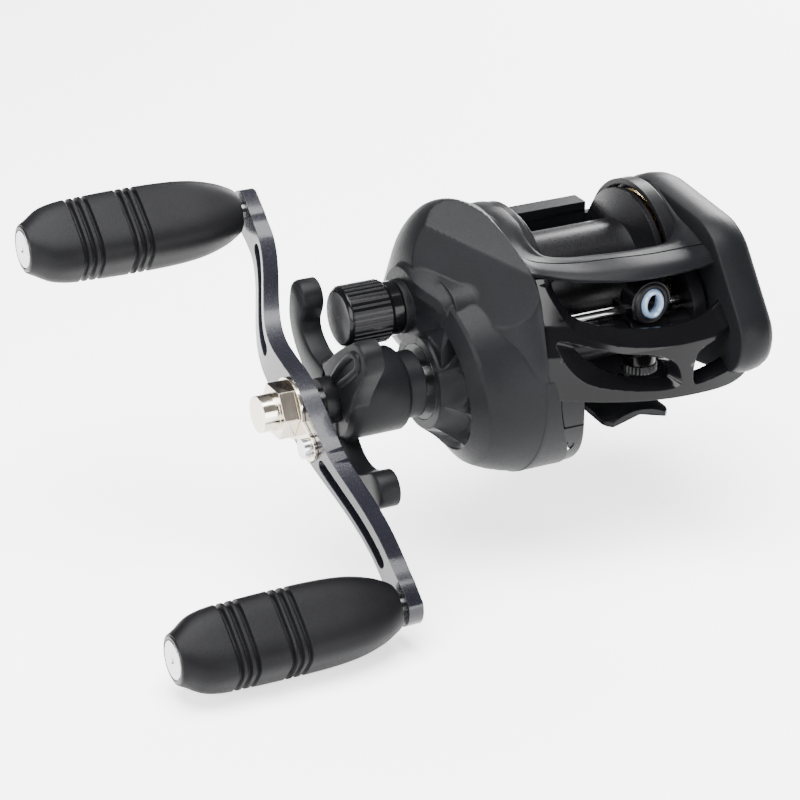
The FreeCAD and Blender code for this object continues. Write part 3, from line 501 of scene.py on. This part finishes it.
HOOD_EDGE = [(-19.8, 16.6, 26), (-19.8, 13.2, 31.2), (-19.8, 8, 35.5), (-19.8, 0, 37.4),
             (-19.8, -6.6, 35.9), (-19.7, -13.5, 33.3), (-16.4, -15.6, 31.6), (-9.6, -18, 31),
             (-1.6, -20, 31.3), (6, -20.6, 31), (14.6, -20.4, 30.9), (21.8, -20.6, 31.1),
             (24.2, -17.6, 31.4), (24.4, -9, 34.0), (24.0, 0, 34.7), (23.6, 8, 32.6), (23.0, 13.6, 28.6),
             (22.2, 17.4, 23.8)]
BROW_TOP = [(x * 1.005, y - 0.25, z - 0.05) for x, y, z in HOOD_EDGE[5:13]]
BROW_MID = [(-19.4, -16.0, 32.2), (-16.6, -18.4, 31.0), (-10.2, -21.8, 30.4), (-1.6, -24.1, 30.2),
            (6, -24.7, 30.2), (14.6, -24.0, 30.1), (21.0, -22.6, 30.2), (24.2, -20.6, 30.8)]
BROW_EDGE = [(-19.6, -19.2, 31.0), (-17.0, -19.8, 30.4), (-11.4, -23.0, 29.6), (-2.4, -25.8, 28.9),
             (6, -26.5, 28.6), (14.6, -25.8, 28.6), (21.0, -24.4, 28.8), (24.4, -22.6, 29.4)]
piece("hood", skin([HOOD_LIP, HOOD_RIM, HOOD_CREST, HOOD_EDGE], 160, 18), "case_black", "reel", "top_hood",
      bevel=0.2, sharp=40, thick=0.8)
piece("hood_apron", skin([BROW_TOP, BROW_MID, BROW_EDGE], 90, 12), "case_black", "reel",
      bevel=0.2, sharp=40, thick=0.9)

# ---- Palm-side cover -----------------------------------------------------------
# The lift-off cover on the far side is a matte moulding too. It flares forward at the bottom to meet
# the nose, and its outer face is drawn in to a flat that carries the brake dial.
PALM = [(0.0, 20.5, 17.0), (-17.0, 24.0, 11.8), (-28.4, 14.8, 8.2), (9.5, 15.5, 12.6), (-14.0, 10.5, 6.4)]
PALM_RUN = [(18.0, 1.4), (18.2, 0.6), (20.0, 0.1), (22.0, 0.0), (24.0, 0.3), (25.2, 0.9), (25.9, 1.8),
            (26.4, 3.2), (26.6, 5.6)]


def palm_shell():
    """The palm-side dome, with its flare moved forward as it nears the nose."""
    rings = []
    for x, inset in PALM_RUN:
        circles = [(y, z, max(radius - inset, 0.4)) for y, z, radius in PALM]
        rings.append([(x, y, z) for y, z in taut(circles, (-8, 17))])
    return sleeve(rings)


piece("cover_palm_side", palm_shell(), "case_black", "reel", "palm_side_cover", bevel=0.3, sharp=26)

# ---- Nose -----------------------------------------------------------------------
# A glossy black moulding bowed round the front, leaning back above its bar. The upper window shows
# the line guide; below the bar an off-centre strut parts a wide window from a small one.


def closed_strand(points, per_span=8):
    """A smooth closed outline through given (x, z) points."""
    count = len(points)
    line = []
    for index in range(count):
        around = [points[(index + shift) % count] for shift in (-1, 0, 1, 2)]
        line += [between(*around, step / per_span) for step in range(per_span)]
    return line


def nose_front(z):
    """How far forward the nose stands at its middle, at a height."""
    stations = [(0, 32.2), (5, 33.1), (16.5, 32.9), (22, 31.2), (28.5, 25.7), (34, 20.0)]
    for (low, near), (high, far) in zip(stations, stations[1:]):
        if z <= high:
            return near + (far - near) * (z - low) / (high - low)
    return stations[-1][1]


def on_nose(x, z, lift=0.0):
    """The nose's surface at a place across and up it: bows struck from one line behind the reel."""
    bow_back = 26.8
    span = nose_front(z) + bow_back + lift
    return x, bow_back - math.sqrt(span ** 2 - (x - 6.0) ** 2), z


def cut_sheet(outer, holes, place, step=1.2):
    """A flat sheet with holes, cut into small cells and then laid on a curved surface."""
    loops = [[Vector((x, z, 0)) for x, z in loop] for loop in [outer] + holes]
    corners = [corner for loop in loops for corner in loop]
    work = bmesh.new()
    points = [work.verts.new(corner) for corner in corners]
    for a, b, c in tessellate_polygon(loops):
        try:
            work.faces.new((points[a], points[b], points[c]))
        except ValueError:
            continue
    for axis in (0, 1):
        low = min(corner[axis] for corner in corners)
        high = max(corner[axis] for corner in corners)
        for number in range(1, int((high - low) / step)):
            at = Vector((0, 0, 0))
            at[axis] = low + number * step
            normal = Vector((1, 0, 0)) if axis == 0 else Vector((0, 1, 0))
            geometry = list(work.verts) + list(work.edges) + list(work.faces)
            bmesh.ops.bisect_plane(work, geom=geometry, plane_co=at, plane_no=normal)
    bmesh.ops.dissolve_degenerate(work, edges=work.edges, dist=0.01)
    work.verts.index_update()
    made = [place(vert.co.x, vert.co.y) for vert in work.verts]
    faces = [tuple(vert.index for vert in face.verts) for face in work.faces]
    work.free()
    return made, faces


NOSE_OUTLINE = [(-20.0, 10.6), (-18.4, 8.0), (-12.0, 7.2), (-6.0, 6.6), (1.0, 6.0), (8.0, 5.6),
                (18.0, 5.4), (22.8, 6.8), (24.6, 10.0), (25.4, 18.0), (25.6, 26.0), (25.0, 29.7),
                (20.0, 29.6), (14.0, 29.5), (6.0, 29.5), (-2.4, 29.8), (-11.0, 30.3), (-17.0, 30.9),
                (-19.9, 31.0), (-20.2, 26.0), (-20.3, 19.0), (-20.3, 14.0)]
UPPER_RIM = [(-16.3, 29.4), (-16.1, 24.6), (-14.5, 21.6), (-11.2, 19.5), (-5.8, 17.9), (0.5, 17.0),
             (7.8, 16.6), (13.7, 16.9), (19.0, 18.1), (22.0, 20.4), (23.6, 23.4), (23.9, 28.6),
             (17.0, 29.0), (8.0, 28.9), (0.0, 29.1), (-8.0, 29.6)]
UPPER_HOLE = [(-14.3, 28.4), (-14.4, 25.3), (-13.1, 23.0), (-10.0, 21.5), (-5.2, 20.4), (0.6, 19.6),
              (7.4, 19.3), (13.2, 19.8), (17.6, 21.3), (20.0, 23.0), (20.8, 25.0), (20.6, 27.6),
              (15.6, 27.7), (8.0, 27.6), (0.0, 27.8), (-8.0, 28.2)]
WIDE_RIM = [(-17.6, 19.4), (-16.9, 15.8), (-14.2, 12.2), (-10.8, 10.2), (-4.4, 8.7), (2.0, 7.8), (6.2, 8.0),
            (6.7, 9.8), (5.0, 13.2), (0.2, 15.5), (-6.0, 16.6), (-12.4, 18.3)]
WIDE_HOLE = [(-13.8, 17.6), (-12.6, 15.9), (-10.3, 14.0), (-8.2, 12.5), (-3.6, 10.6), (1.6, 9.6),
             (4.6, 9.4), (5.0, 10.4), (3.6, 12.8), (-0.6, 14.9), (-6.0, 15.9), (-11.4, 17.4)]
SMALL_RIM = [(9.6, 8.0), (14.5, 7.9), (19.4, 8.9), (22.4, 11.6), (22.2, 16.8), (16.0, 16.1), (11.6, 14.9),
             (9.9, 13.2)]
SMALL_HOLE = [(10.6, 9.2), (14.5, 9.3), (18.4, 10.2), (21.2, 12.1), (20.9, 15.8), (15.8, 15.2),
              (12.2, 14.2), (10.8, 12.8)]
WALL = 3.2


def rear_of_nose(x, z):
    """The nose's inner surface."""
    return on_nose(x, z, -WALL)


def reveal(rim, hole):
    """The sloped side of a window, from its rim in front to its edge at the back."""
    outer = closed_strand(rim)
    inner = closed_strand(hole)
    rings = [[on_nose(x, z) for x, z in outer],
             [on_nose(x, z, -0.75 * WALL) for x, z in inner],
             [on_nose(x, z, -WALL) for x, z in inner]]
    return sleeve(rings, closed=False)


rims = [UPPER_RIM, WIDE_RIM, SMALL_RIM]
holes = [UPPER_HOLE, WIDE_HOLE, SMALL_HOLE]
nose_edge = closed_strand(NOSE_OUTLINE)
piece("nose", joined(cut_sheet(nose_edge, [closed_strand(rim) for rim in rims], on_nose),
                     cut_sheet(nose_edge, [closed_strand(hole) for hole in holes], rear_of_nose),
                     sleeve([[on_nose(x, z) for x, z in nose_edge],
                             [on_nose(x, z, -WALL) for x, z in nose_edge]], closed=False),
                     *[reveal(rim, hole) for rim, hole in zip(rims, holes)]),
      "gloss_black", "reel", "front_nose", bevel=0.3, sharp=24, segments=3)

# ---- Grips ----------------------------------------------------------------------
# Two rubber grips on brass-bushed posts: flattened barrels with two sets of three moulded grooves,
# drawn in at both ends. A spun metal disc with a dark rim closes the outer end of each.
ARM_ALONG = Vector((0, math.cos(math.radians(38)), math.sin(math.radians(38))))
ARM_ACROSS = Vector((0, -math.sin(math.radians(38)), math.cos(math.radians(38))))
GRIP_FORM = [(0.0, 4.7, 4.6), (0.025, 5.2, 4.9), (0.09, 6.9, 5.3), (0.17, 7.6, 5.6), (0.26, 7.7, 5.7),
             (0.5, 7.8, 5.8), (0.7, 7.7, 5.7), (0.82, 7.2, 5.5), (0.92, 6.1, 5.0), (0.98, 4.9, 4.5),
             (1.0, 4.4, 4.2)]
GROOVES = [0.225, 0.262, 0.30, 0.455, 0.492, 0.53]


def strand_at(stations, place):
    """The values of a smooth line through stations, where its first value reaches a place."""
    for index in range(len(stations) - 1):
        (low, *start), (high, *stop) = stations[index], stations[index + 1]
        if place <= high:
            break
    share = min(max((place - low) / (high - low), 0), 1)
    before, after = stations[max(index - 1, 0)], stations[min(index + 2, len(stations) - 1)]
    values = []
    for channel, (b, c) in enumerate(zip(start, stop), 1):
        into = (c - before[channel]) / (high - before[0]) * (high - low)
        out = (after[channel] - b) / (after[0] - low) * (high - low)
        values.append((1 + 2 * share) * (1 - share) ** 2 * b + share * (1 - share) ** 2 * into
                      + share ** 2 * (3 - 2 * share) * c + share ** 2 * (share - 1) * out)
    return values


def grip_shell(start, stop, axis):
    """A grip as rings from its outer end to the arm, grooved on the way."""
    shares = {number / 90 for number in range(91)}
    for groove in GROOVES:
        shares |= {groove + shift for shift in (-0.012, -0.009, -0.005, 0, 0.005, 0.009, 0.012)}
    rings = []
    for share in sorted(shares):
        wide, thick = strand_at(GRIP_FORM, share)
        near = min(abs(share - groove) for groove in GROOVES)
        dip = 0.75 * math.sqrt(max(0, 1 - (near / 0.0105) ** 2))
        power = 2.1 + 1.7 * math.sin(math.pi * share) ** 0.7
        ring = []
        for step in range(96):
            turn = math.tau * step / 96
            across, along = math.cos(turn), math.sin(turn)
            swell = (abs(across) ** power + abs(along) ** power) ** (-1 / power)
            at = ARM_ALONG * (swell * across * (wide - dip)) + ARM_ACROSS * (swell * along * (thick - dip))
            ring.append((start + (stop - start) * share, axis[0] + at.y, axis[1] + at.z))
        rings.append(ring)
    return sleeve(rings)


for side in ("rear", "front"):
    low, high = (corner / MM for corner in (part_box("grip_" + side)[0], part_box("grip_" + side)[1]))
    centre = middle("grip_" + side)[1:]
    piece("grip_barrel_" + side, grip_shell(low.x, high.x, centre), "grip_rubber", side + "_grip",
          "grip_" + side, bevel=0.12, sharp=35)
    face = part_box("grip_cap_" + side)[0][0] / MM
    disc = [(face + 0.25, 0.3, 0, 0), (face + 0.22, 0.55, 0, 0), (face, 0.7, 0, 0), (face, 3.5, 0, 0),
            (face + 0.1, 3.65, 0, 0), (face + 0.9, 3.7, 0, 0)]
    piece("grip_disc_" + side, turned_ring(disc, centre, 64), "cap_silver", side + "_grip",
          "grip_cap_" + side, bevel=0.06)
    rim = [(face + 0.9, 3.7, 0, 0), (face + 0.15, 3.75, 0, 0), (face + 0.05, 3.95, 0, 0),
           (face + 0.1, 4.3, 0, 0), (face + 0.6, 4.7, 0, 0), (face + 1.2, 4.6, 0, 0)]
    piece("grip_rim_" + side, turned_ring(rim, centre, 64), "dial_black", side + "_grip", bevel=0.06)

# ---- Handle arm -------------------------------------------------------------------
# A forged double arm with an S-shaped bow, cranked inward at both ends, in lacquered metal flake.
# Each half has a long lightening slot, and the edges carry a broad polished chamfer.
ARM_HALF = 44.0
ARM_OUT = -63.8
ARM_END = -58.4
ARM_THICK = 3.8
ARM_HALVES = [(0.0, 5.6), (5.0, 5.3), (10.0, 4.4), (16.0, 3.5), (24.0, 3.2), (34.0, 3.1), (39.0, 3.3),
              (41.0, 3.6)]


def arm_bow(distance):
    """How far the arm's middle line bows across at a distance from the hub."""
    run = abs(distance) / ARM_HALF
    return -3.0 * math.copysign(1, distance) * math.sin(math.pi * min(run / 0.82, 1)) ** 1.5


def on_arm(distance, across, lift=0.0):
    """A place on the arm's outer face, which steps inward towards the grips."""
    run = min(abs(distance) / ARM_HALF, 1)
    crank = 0.5 - 0.5 * math.cos(math.pi * min(max((run - 0.25) / 0.6, 0), 1))
    at = ARM_ALONG * distance + ARM_ACROSS * across
    return (ARM_OUT + (ARM_END - ARM_OUT) * crank + lift, drive_axis[0] + at.y, drive_axis[1] + at.z)


def under_arm(distance, across):
    """The arm's inner face."""
    return on_arm(distance, across, ARM_THICK - 0.8 * min(abs(distance) / ARM_HALF, 1))


def arm_outline():
    """The arm's edge: bowed sides between two round eyes."""
    side = []
    for step in range(-82, 83):
        distance = step / 2
        side.append((distance, strand_at(ARM_HALVES, abs(distance))[0], arm_bow(distance)))
    eye = [math.radians(-62 + 124 * step / 16) for step in range(17)]
    top = [(ARM_HALF + 4.1 * math.cos(turn), 4.1 * math.sin(turn)) for turn in eye]
    return ([(distance, bow - half) for distance, half, bow in side] + top
            + [(distance, bow + half) for distance, half, bow in reversed(side)]
            + [(-distance, -across) for distance, across in top])


def arm_slot(start, stop, half, shift):
    """A long slot that follows the arm's bow, with round ends."""
    count = 24
    line = [start + (stop - start) * step / count for step in range(count + 1)]
    ends = [math.radians(180 * step / 8) for step in range(1, 8)]
    bows = [arm_bow(distance) + shift for distance in line]
    reach = math.copysign(half, stop - start)
    right = [(line[-1] + reach * math.sin(turn), bows[-1] - half * math.cos(turn)) for turn in ends]
    left = [(line[0] - reach * math.sin(turn), bows[0] + half * math.cos(turn)) for turn in ends]
    return ([(distance, bow - half) for distance, bow in zip(line, bows)] + right
            + [(distance, bow + half) for distance, bow in zip(reversed(line), reversed(bows))] + left)


slots = [arm_slot(14.5, 34.5, 1.4, 0.5), arm_slot(-14.5, -34.5, 1.4, -0.5)]
edge = arm_outline()
shells = [cut_sheet(edge, slots, on_arm, 2.0), cut_sheet(edge, slots, under_arm, 2.0)]
for loop in [edge] + slots:
    walls = [[on_arm(*point) for point in loop], [under_arm(*point) for point in loop]]
    shells.append(sleeve(walls, closed=False))
piece("crank_arm", joined(*shells), "arm_black", "handle", "handle_arm", bevel=0.75, sharp=50, segments=3)

# ---- Star drag ----------------------------------------------------------------------
# A moulded star: a round barrel on the shaft's thread with two long curved paddles for the thumb and
# a short raised finger between them, which has a U-shaped rib round a slot.
STAR_X = (-55.6, -51.4)


def sideways(line, index):
    """The unit direction across a flat line at one of its points."""
    y0, z0 = line[max(index - 1, 0)][:2]
    y1, z1 = line[min(index + 1, len(line) - 1)][:2]
    run = math.hypot(y1 - y0, z1 - z0)
    return -(z1 - z0) / run, (y1 - y0) / run


def paddle(spine, x_out, x_in, dome):
    """A curved arm as an outline swept round a middle line, domed on its outer face."""
    line = strand(spine, 28)
    left, right = [], []
    for index, (y, z, half) in enumerate(line):
        side = sideways(line, index)
        left.append((y + side[0] * half, z + side[1] * half))
        right.append((y - side[0] * half, z - side[1] * half))
    y, z, half = line[-1]
    heading = math.atan2(line[-1][1] - line[-2][1], line[-1][0] - line[-2][0])
    tip = [(y + half * math.cos(heading + math.radians(90 - 18 * step)),
            z + half * math.sin(heading + math.radians(90 - 18 * step))) for step in range(1, 10)]
    loop = left + tip + right[::-1]
    centre = [(y, z) for y, z, _ in line]
    rings = []
    for x, inset in ((x_out, 0.2), (x_out + 0.2 * dome, 0.08), (x_out + dome, 0.0), (x_in, 0.0)):
        ring = []
        for y, z in loop:
            near = min(centre, key=lambda spot: (spot[0] - y) ** 2 + (spot[1] - z) ** 2)
            ring.append((x, drive_axis[0] + y + (near[0] - y) * inset,
                         drive_axis[1] + z + (near[1] - z) * inset))
        rings.append(ring)
    corners, faces = sleeve(rings, closed=False)
    count = len(loop)
    half_count = len(left)
    caps = []
    for row in (0, len(rings) - 1):
        for step in range(half_count - 1):
            caps.append((row * count + step, row * count + step + 1,
                         row * count + count - 2 - step, row * count + count - 1 - step))
        caps.append(tuple(row * count + step for step in range(half_count - 1, half_count + len(tip) + 1)))
    return corners, faces + caps


REAR_PADDLE = [(5.0, 1.0, 4.4), (10.5, 3.6, 3.2), (14.6, 7.0, 2.9), (16.2, 11.0, 3.1), (15.2, 15.2, 3.6)]
LOW_PADDLE = [(3.0, -3.0, 5.4), (0.8, -8.5, 4.2), (-4.8, -12.8, 3.3), (-11.6, -13.8, 3.1),
              (-18.0, -11.6, 3.6)]
FINGER = [(-1.0, 1.5, 7.0), (-5.0, 6.5, 5.4), (-8.8, 10.2, 4.3), (-11.2, 12.4, 3.6)]
barrel = turned_ring([(-55.2, 3.0, 0, 0), (-55.2, 7.2, 0, 0), (-54.6, 8.0, 0, 0), (-54.0, 8.3, 0, 0),
                      (-43.0, 8.3, 0, 0), (-42.3, 7.9, 0, 0), (-41.8, 6.9, 0, 0), (-41.6, 6.6, 0, 0),
                      (-38.2, 6.6, 0, 0), (-38.2, 3.0, 0, 0)], drive_axis, 96)
arms = [paddle(spine, *STAR_X, 0.9) for spine in (REAR_PADDLE, LOW_PADDLE, FINGER)]
piece("drag_star", joined(barrel, *arms),
      "case_black", "star", "star_drag", bevel=0.3, sharp=32, segments=3)


def rib(points, half, height, x_base, x_top):
    """A raised rounded rib along a line on the star."""
    line = strand(points, 36)
    rings = []
    for index, (y, z) in enumerate(line):
        side = sideways(line, index)
        rings.append([(x_base - height * math.sin(math.radians(15 * step)),
                       drive_axis[0] + y + side[0] * half * math.cos(math.radians(15 * step)),
                       drive_axis[1] + z + side[1] * half * math.cos(math.radians(15 * step)))
                      for step in range(13)] + [(x_top, drive_axis[0] + y, drive_axis[1] + z)])
    return sleeve(rings)


STAR_RIB = [(-1.6, 5.4), (-5.6, 9.8), (-9.6, 13.0), (-12.0, 13.2), (-12.0, 11.2), (-9.4, 8.8), (-4.6, 5.0)]
piece("star_rib", rib(STAR_RIB, 0.85, 0.9, -55.5, -54.6), "case_black", "star", bevel=0)

# ---- Tension knob ---------------------------------------------------------------------
# A turned knob with straight ridges rolled round its rim and a fine spun face. Its ridges and those
# of the brake dial are one small bar repeated round an axis.


def ridge_tree():
    """Round bars repeated on a circle, which is then turned, moved to a centre and painted."""
    tree = bpy.data.node_groups.new("ridges_round_axis", "GeometryNodeTree")
    face = tree.interface
    face.new_socket("Geometry", in_out="OUTPUT", socket_type="NodeSocketGeometry")
    for name, kind in (("Count", "NodeSocketInt"), ("Radius", "NodeSocketFloat"),
                       ("Length", "NodeSocketFloat"), ("Half width", "NodeSocketFloat"),
                       ("Centre", "NodeSocketVector"),
                       ("Turn", "NodeSocketVector"), ("Material", "NodeSocketMaterial")):
        face.new_socket(name, in_out="INPUT", socket_type=kind)
    add, link = tree.nodes.new, tree.links.new
    given = add("NodeGroupInput")
    out = add("NodeGroupOutput")
    circle = add("GeometryNodeMeshCircle")
    link(given.outputs["Count"], circle.inputs["Vertices"])
    link(given.outputs["Radius"], circle.inputs["Radius"])
    bar = add("GeometryNodeMeshCylinder")
    bar.inputs["Vertices"].default_value = 12
    link(given.outputs["Half width"], bar.inputs["Radius"])
    link(given.outputs["Length"], bar.inputs["Depth"])
    spread = add("GeometryNodeInstanceOnPoints")
    link(circle.outputs["Mesh"], spread.inputs["Points"])
    link(bar.outputs["Mesh"], spread.inputs["Instance"])
    real = add("GeometryNodeRealizeInstances")
    link(spread.outputs["Instances"], real.inputs["Geometry"])
    aim = add("GeometryNodeTransform")
    link(real.outputs["Geometry"], aim.inputs["Geometry"])
    link(given.outputs["Centre"], aim.inputs["Translation"])
    link(given.outputs["Turn"], aim.inputs["Rotation"])
    paint = add("GeometryNodeSetMaterial")
    link(aim.outputs["Geometry"], paint.inputs["Geometry"])
    link(given.outputs["Material"], paint.inputs["Material"])
    link(paint.outputs["Geometry"], out.inputs["Geometry"])
    return tree


ridges_round_axis = ridge_tree()


def ridges(name, slot, body, count, radius, length, half, centre):
    """A baked ring of bars round an axis along X, from the shared tree."""
    holder = bpy.data.objects.new(name + "_tree", bpy.data.meshes.new(name + "_tree"))
    bpy.context.scene.collection.objects.link(holder)
    work = holder.modifiers.new("ridges", "NODES")
    work.node_group = ridges_round_axis
    values = {"Count": count, "Radius": radius * MM, "Length": length * MM, "Half width": half * MM,
              "Centre": [value * MM for value in centre], "Turn": (0, math.pi / 2, 0),
              "Material": finishes[slot]}
    for item in ridges_round_axis.interface.items_tree:
        if item.in_out == "INPUT":
            work[item.identifier] = values[item.name]
    bpy.context.view_layer.update()
    depths = bpy.context.evaluated_depsgraph_get()
    mesh = bpy.data.meshes.new_from_object(holder.evaluated_get(depths))
    bpy.data.objects.remove(holder)
    mesh.polygons.foreach_set("use_smooth", [True] * len(mesh.polygons))
    mesh.set_sharp_from_angle(angle=math.radians(50))
    made = bpy.data.objects.new(name, mesh)
    bpy.context.scene.collection.objects.link(made)
    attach(made, body)


KNOB_BODY = [(-50.3, 0.05, 0, 0), (-50.6, 0.3, 0, 0), (-50.6, 5.3, 0, 0), (-50.3, 5.7, 0, 0),
             (-49.9, 5.95, 0, 0), (-41.6, 5.95, 0, 0), (-41.2, 5.7, 0, 0), (-41.0, 5.3, 0, 0),
             (-38.8, 5.3, 0, 0), (-38.7, 5.1, 0, 0), (-38.7, 4.5, 0, 0)]
piece("knob", turned_ring(KNOB_BODY, spool_axis, 96), "gloss_black", "tension", "tension_knob", bevel=0.1)
ridges("knob_ridges", "dial_black", "tension", 34, 5.85, 8.0, 0.3, (-45.8, *spool_axis))
spun = [(-50.55, 0.1, 0, 0), (-50.66, 0.3, 0, 0), (-50.66, 4.9, 0, 0), (-50.6, 5.1, 0, 0)]
piece("knob_face", turned_ring(spun, spool_axis, 96), "dial_black", "tension", bevel=0, paint="knob_spun")

# ---- Brake dial ------------------------------------------------------------------------
# A small black moulded dial on the palm side sets the cast brakes. Its fine ridges and the bar across
# it lie just within the plain dial's own rim and face, so almost nothing of them shows.
dial = middle("brake_dial")
dial_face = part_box("brake_dial")[1][0] / MM
ridges("dial_ridges", "dial_black", "brake", 44, 7.75, 0.9, 0.28, (dial_face - 0.85, *dial[1:]))
bar = [(dial_face + x, dial[1] + y, dial[2] + z) for x, y, z in (
    (-0.35, -5.6, -1.3), (-0.35, 5.6, -1.3), (-0.35, 5.6, 1.3), (-0.35, -5.6, 1.3),
    (-0.02, -5.2, -0.8), (-0.02, 5.2, -0.8), (-0.02, 5.2, 0.8), (-0.02, -5.2, 0.8))]
bar_faces = [(3, 2, 1, 0), (4, 5, 6, 7), (0, 1, 5, 4), (1, 2, 6, 5), (2, 3, 7, 6), (3, 0, 4, 7)]
piece("dial_bar", (bar, bar_faces), "gloss_black", "brake", bevel=0.12)

# ---- Line guide's eye -----------------------------------------------------------------------
# An oval ring of polished ceramic, set upright in a round black boss on the level-wind carriage.
eye = middle("eye_ring")
eye_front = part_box("eye_ring")[0][1] / MM


RING_STEPS = 64
WALL_STEPS = 16


def oval_ring(name, slot, wide, tall, inner_wide, inner_tall, front, back, *nodes):
    """A rounded ring whose outline and hole are ovals, with its axis along Y."""
    rings = []
    for step in range(RING_STEPS):
        turn = math.tau * step / RING_STEPS
        ring = []
        for part in range(WALL_STEPS):
            tilt = math.tau * part / WALL_STEPS
            share = 0.5 + 0.5 * math.cos(tilt)
            reach_x = inner_wide + (wide - inner_wide) * share
            reach_z = inner_tall + (tall - inner_tall) * share
            y = (front + back) / 2 - (back - front) / 2 * math.sin(tilt)
            ring.append((eye[0] + reach_x * math.cos(turn), y, eye[2] + reach_z * math.sin(turn)))
        rings.append(ring)
    corners = [corner for ring in rings for corner in ring]
    faces = []
    for row in range(RING_STEPS):
        here, there = row * WALL_STEPS, (row + 1) % RING_STEPS * WALL_STEPS
        for step in range(WALL_STEPS):
            after = (step + 1) % WALL_STEPS
            faces.append((here + step, here + after, there + after, there + step))
    piece(name, (corners, faces), slot, "line_guide", *nodes, bevel=0)


oval_ring("eye_oval", "eye_ceramic", 2.5, 3.1, 1.15, 1.75, eye_front - 0.3, eye_front + 2.4, "eye_ring")
oval_ring("eye_boss", "frame_black", 4.1, 4.3, 2.1, 2.7, eye_front + 0.3, eye_front + 3.6)

# ---- Foot ----------------------------------------------------------------------------------
# The pressed foot that a rod's reel seat clamps: a saddle under the frame and two long blades,
# arched across and thinning towards their rounded ends.
FOOT_REACH = 29
SADDLE_SHARE = 0.42
TIP_SHARE = 0.86


def foot_shell():
    """The arched foot as sections from its front end to its rear end."""
    rings = []
    for step in range(61):
        y = -FOOT_REACH + 2 * FOOT_REACH * step / 60
        run = abs(y) / FOOT_REACH
        blade = max(0, (run - SADDLE_SHARE) / (1 - SADDLE_SHARE))
        tip = max(0.0, (run - TIP_SHARE) / (1 - TIP_SHARE))
        half = 6.4 + 0.9 * max(0, (run - 0.45) / 0.55)
        half *= math.sqrt(1 - 0.35 * tip ** 4)
        thick = 2.0 - 1.0 * blade
        rise = 1.6 * blade
        top, under = [], []
        for part in range(25):
            x = half * (part / 12 - 1)
            arch = rise * (1 - (x / half) ** 2)
            top.append((x, y, arch + thick))
            under.append((x, y, arch))
        rings.append(top + under[::-1])
    return sleeve(rings)


piece("foot", foot_shell(), "frame_black", "reel", "reel_foot", bevel=0.25, sharp=40)
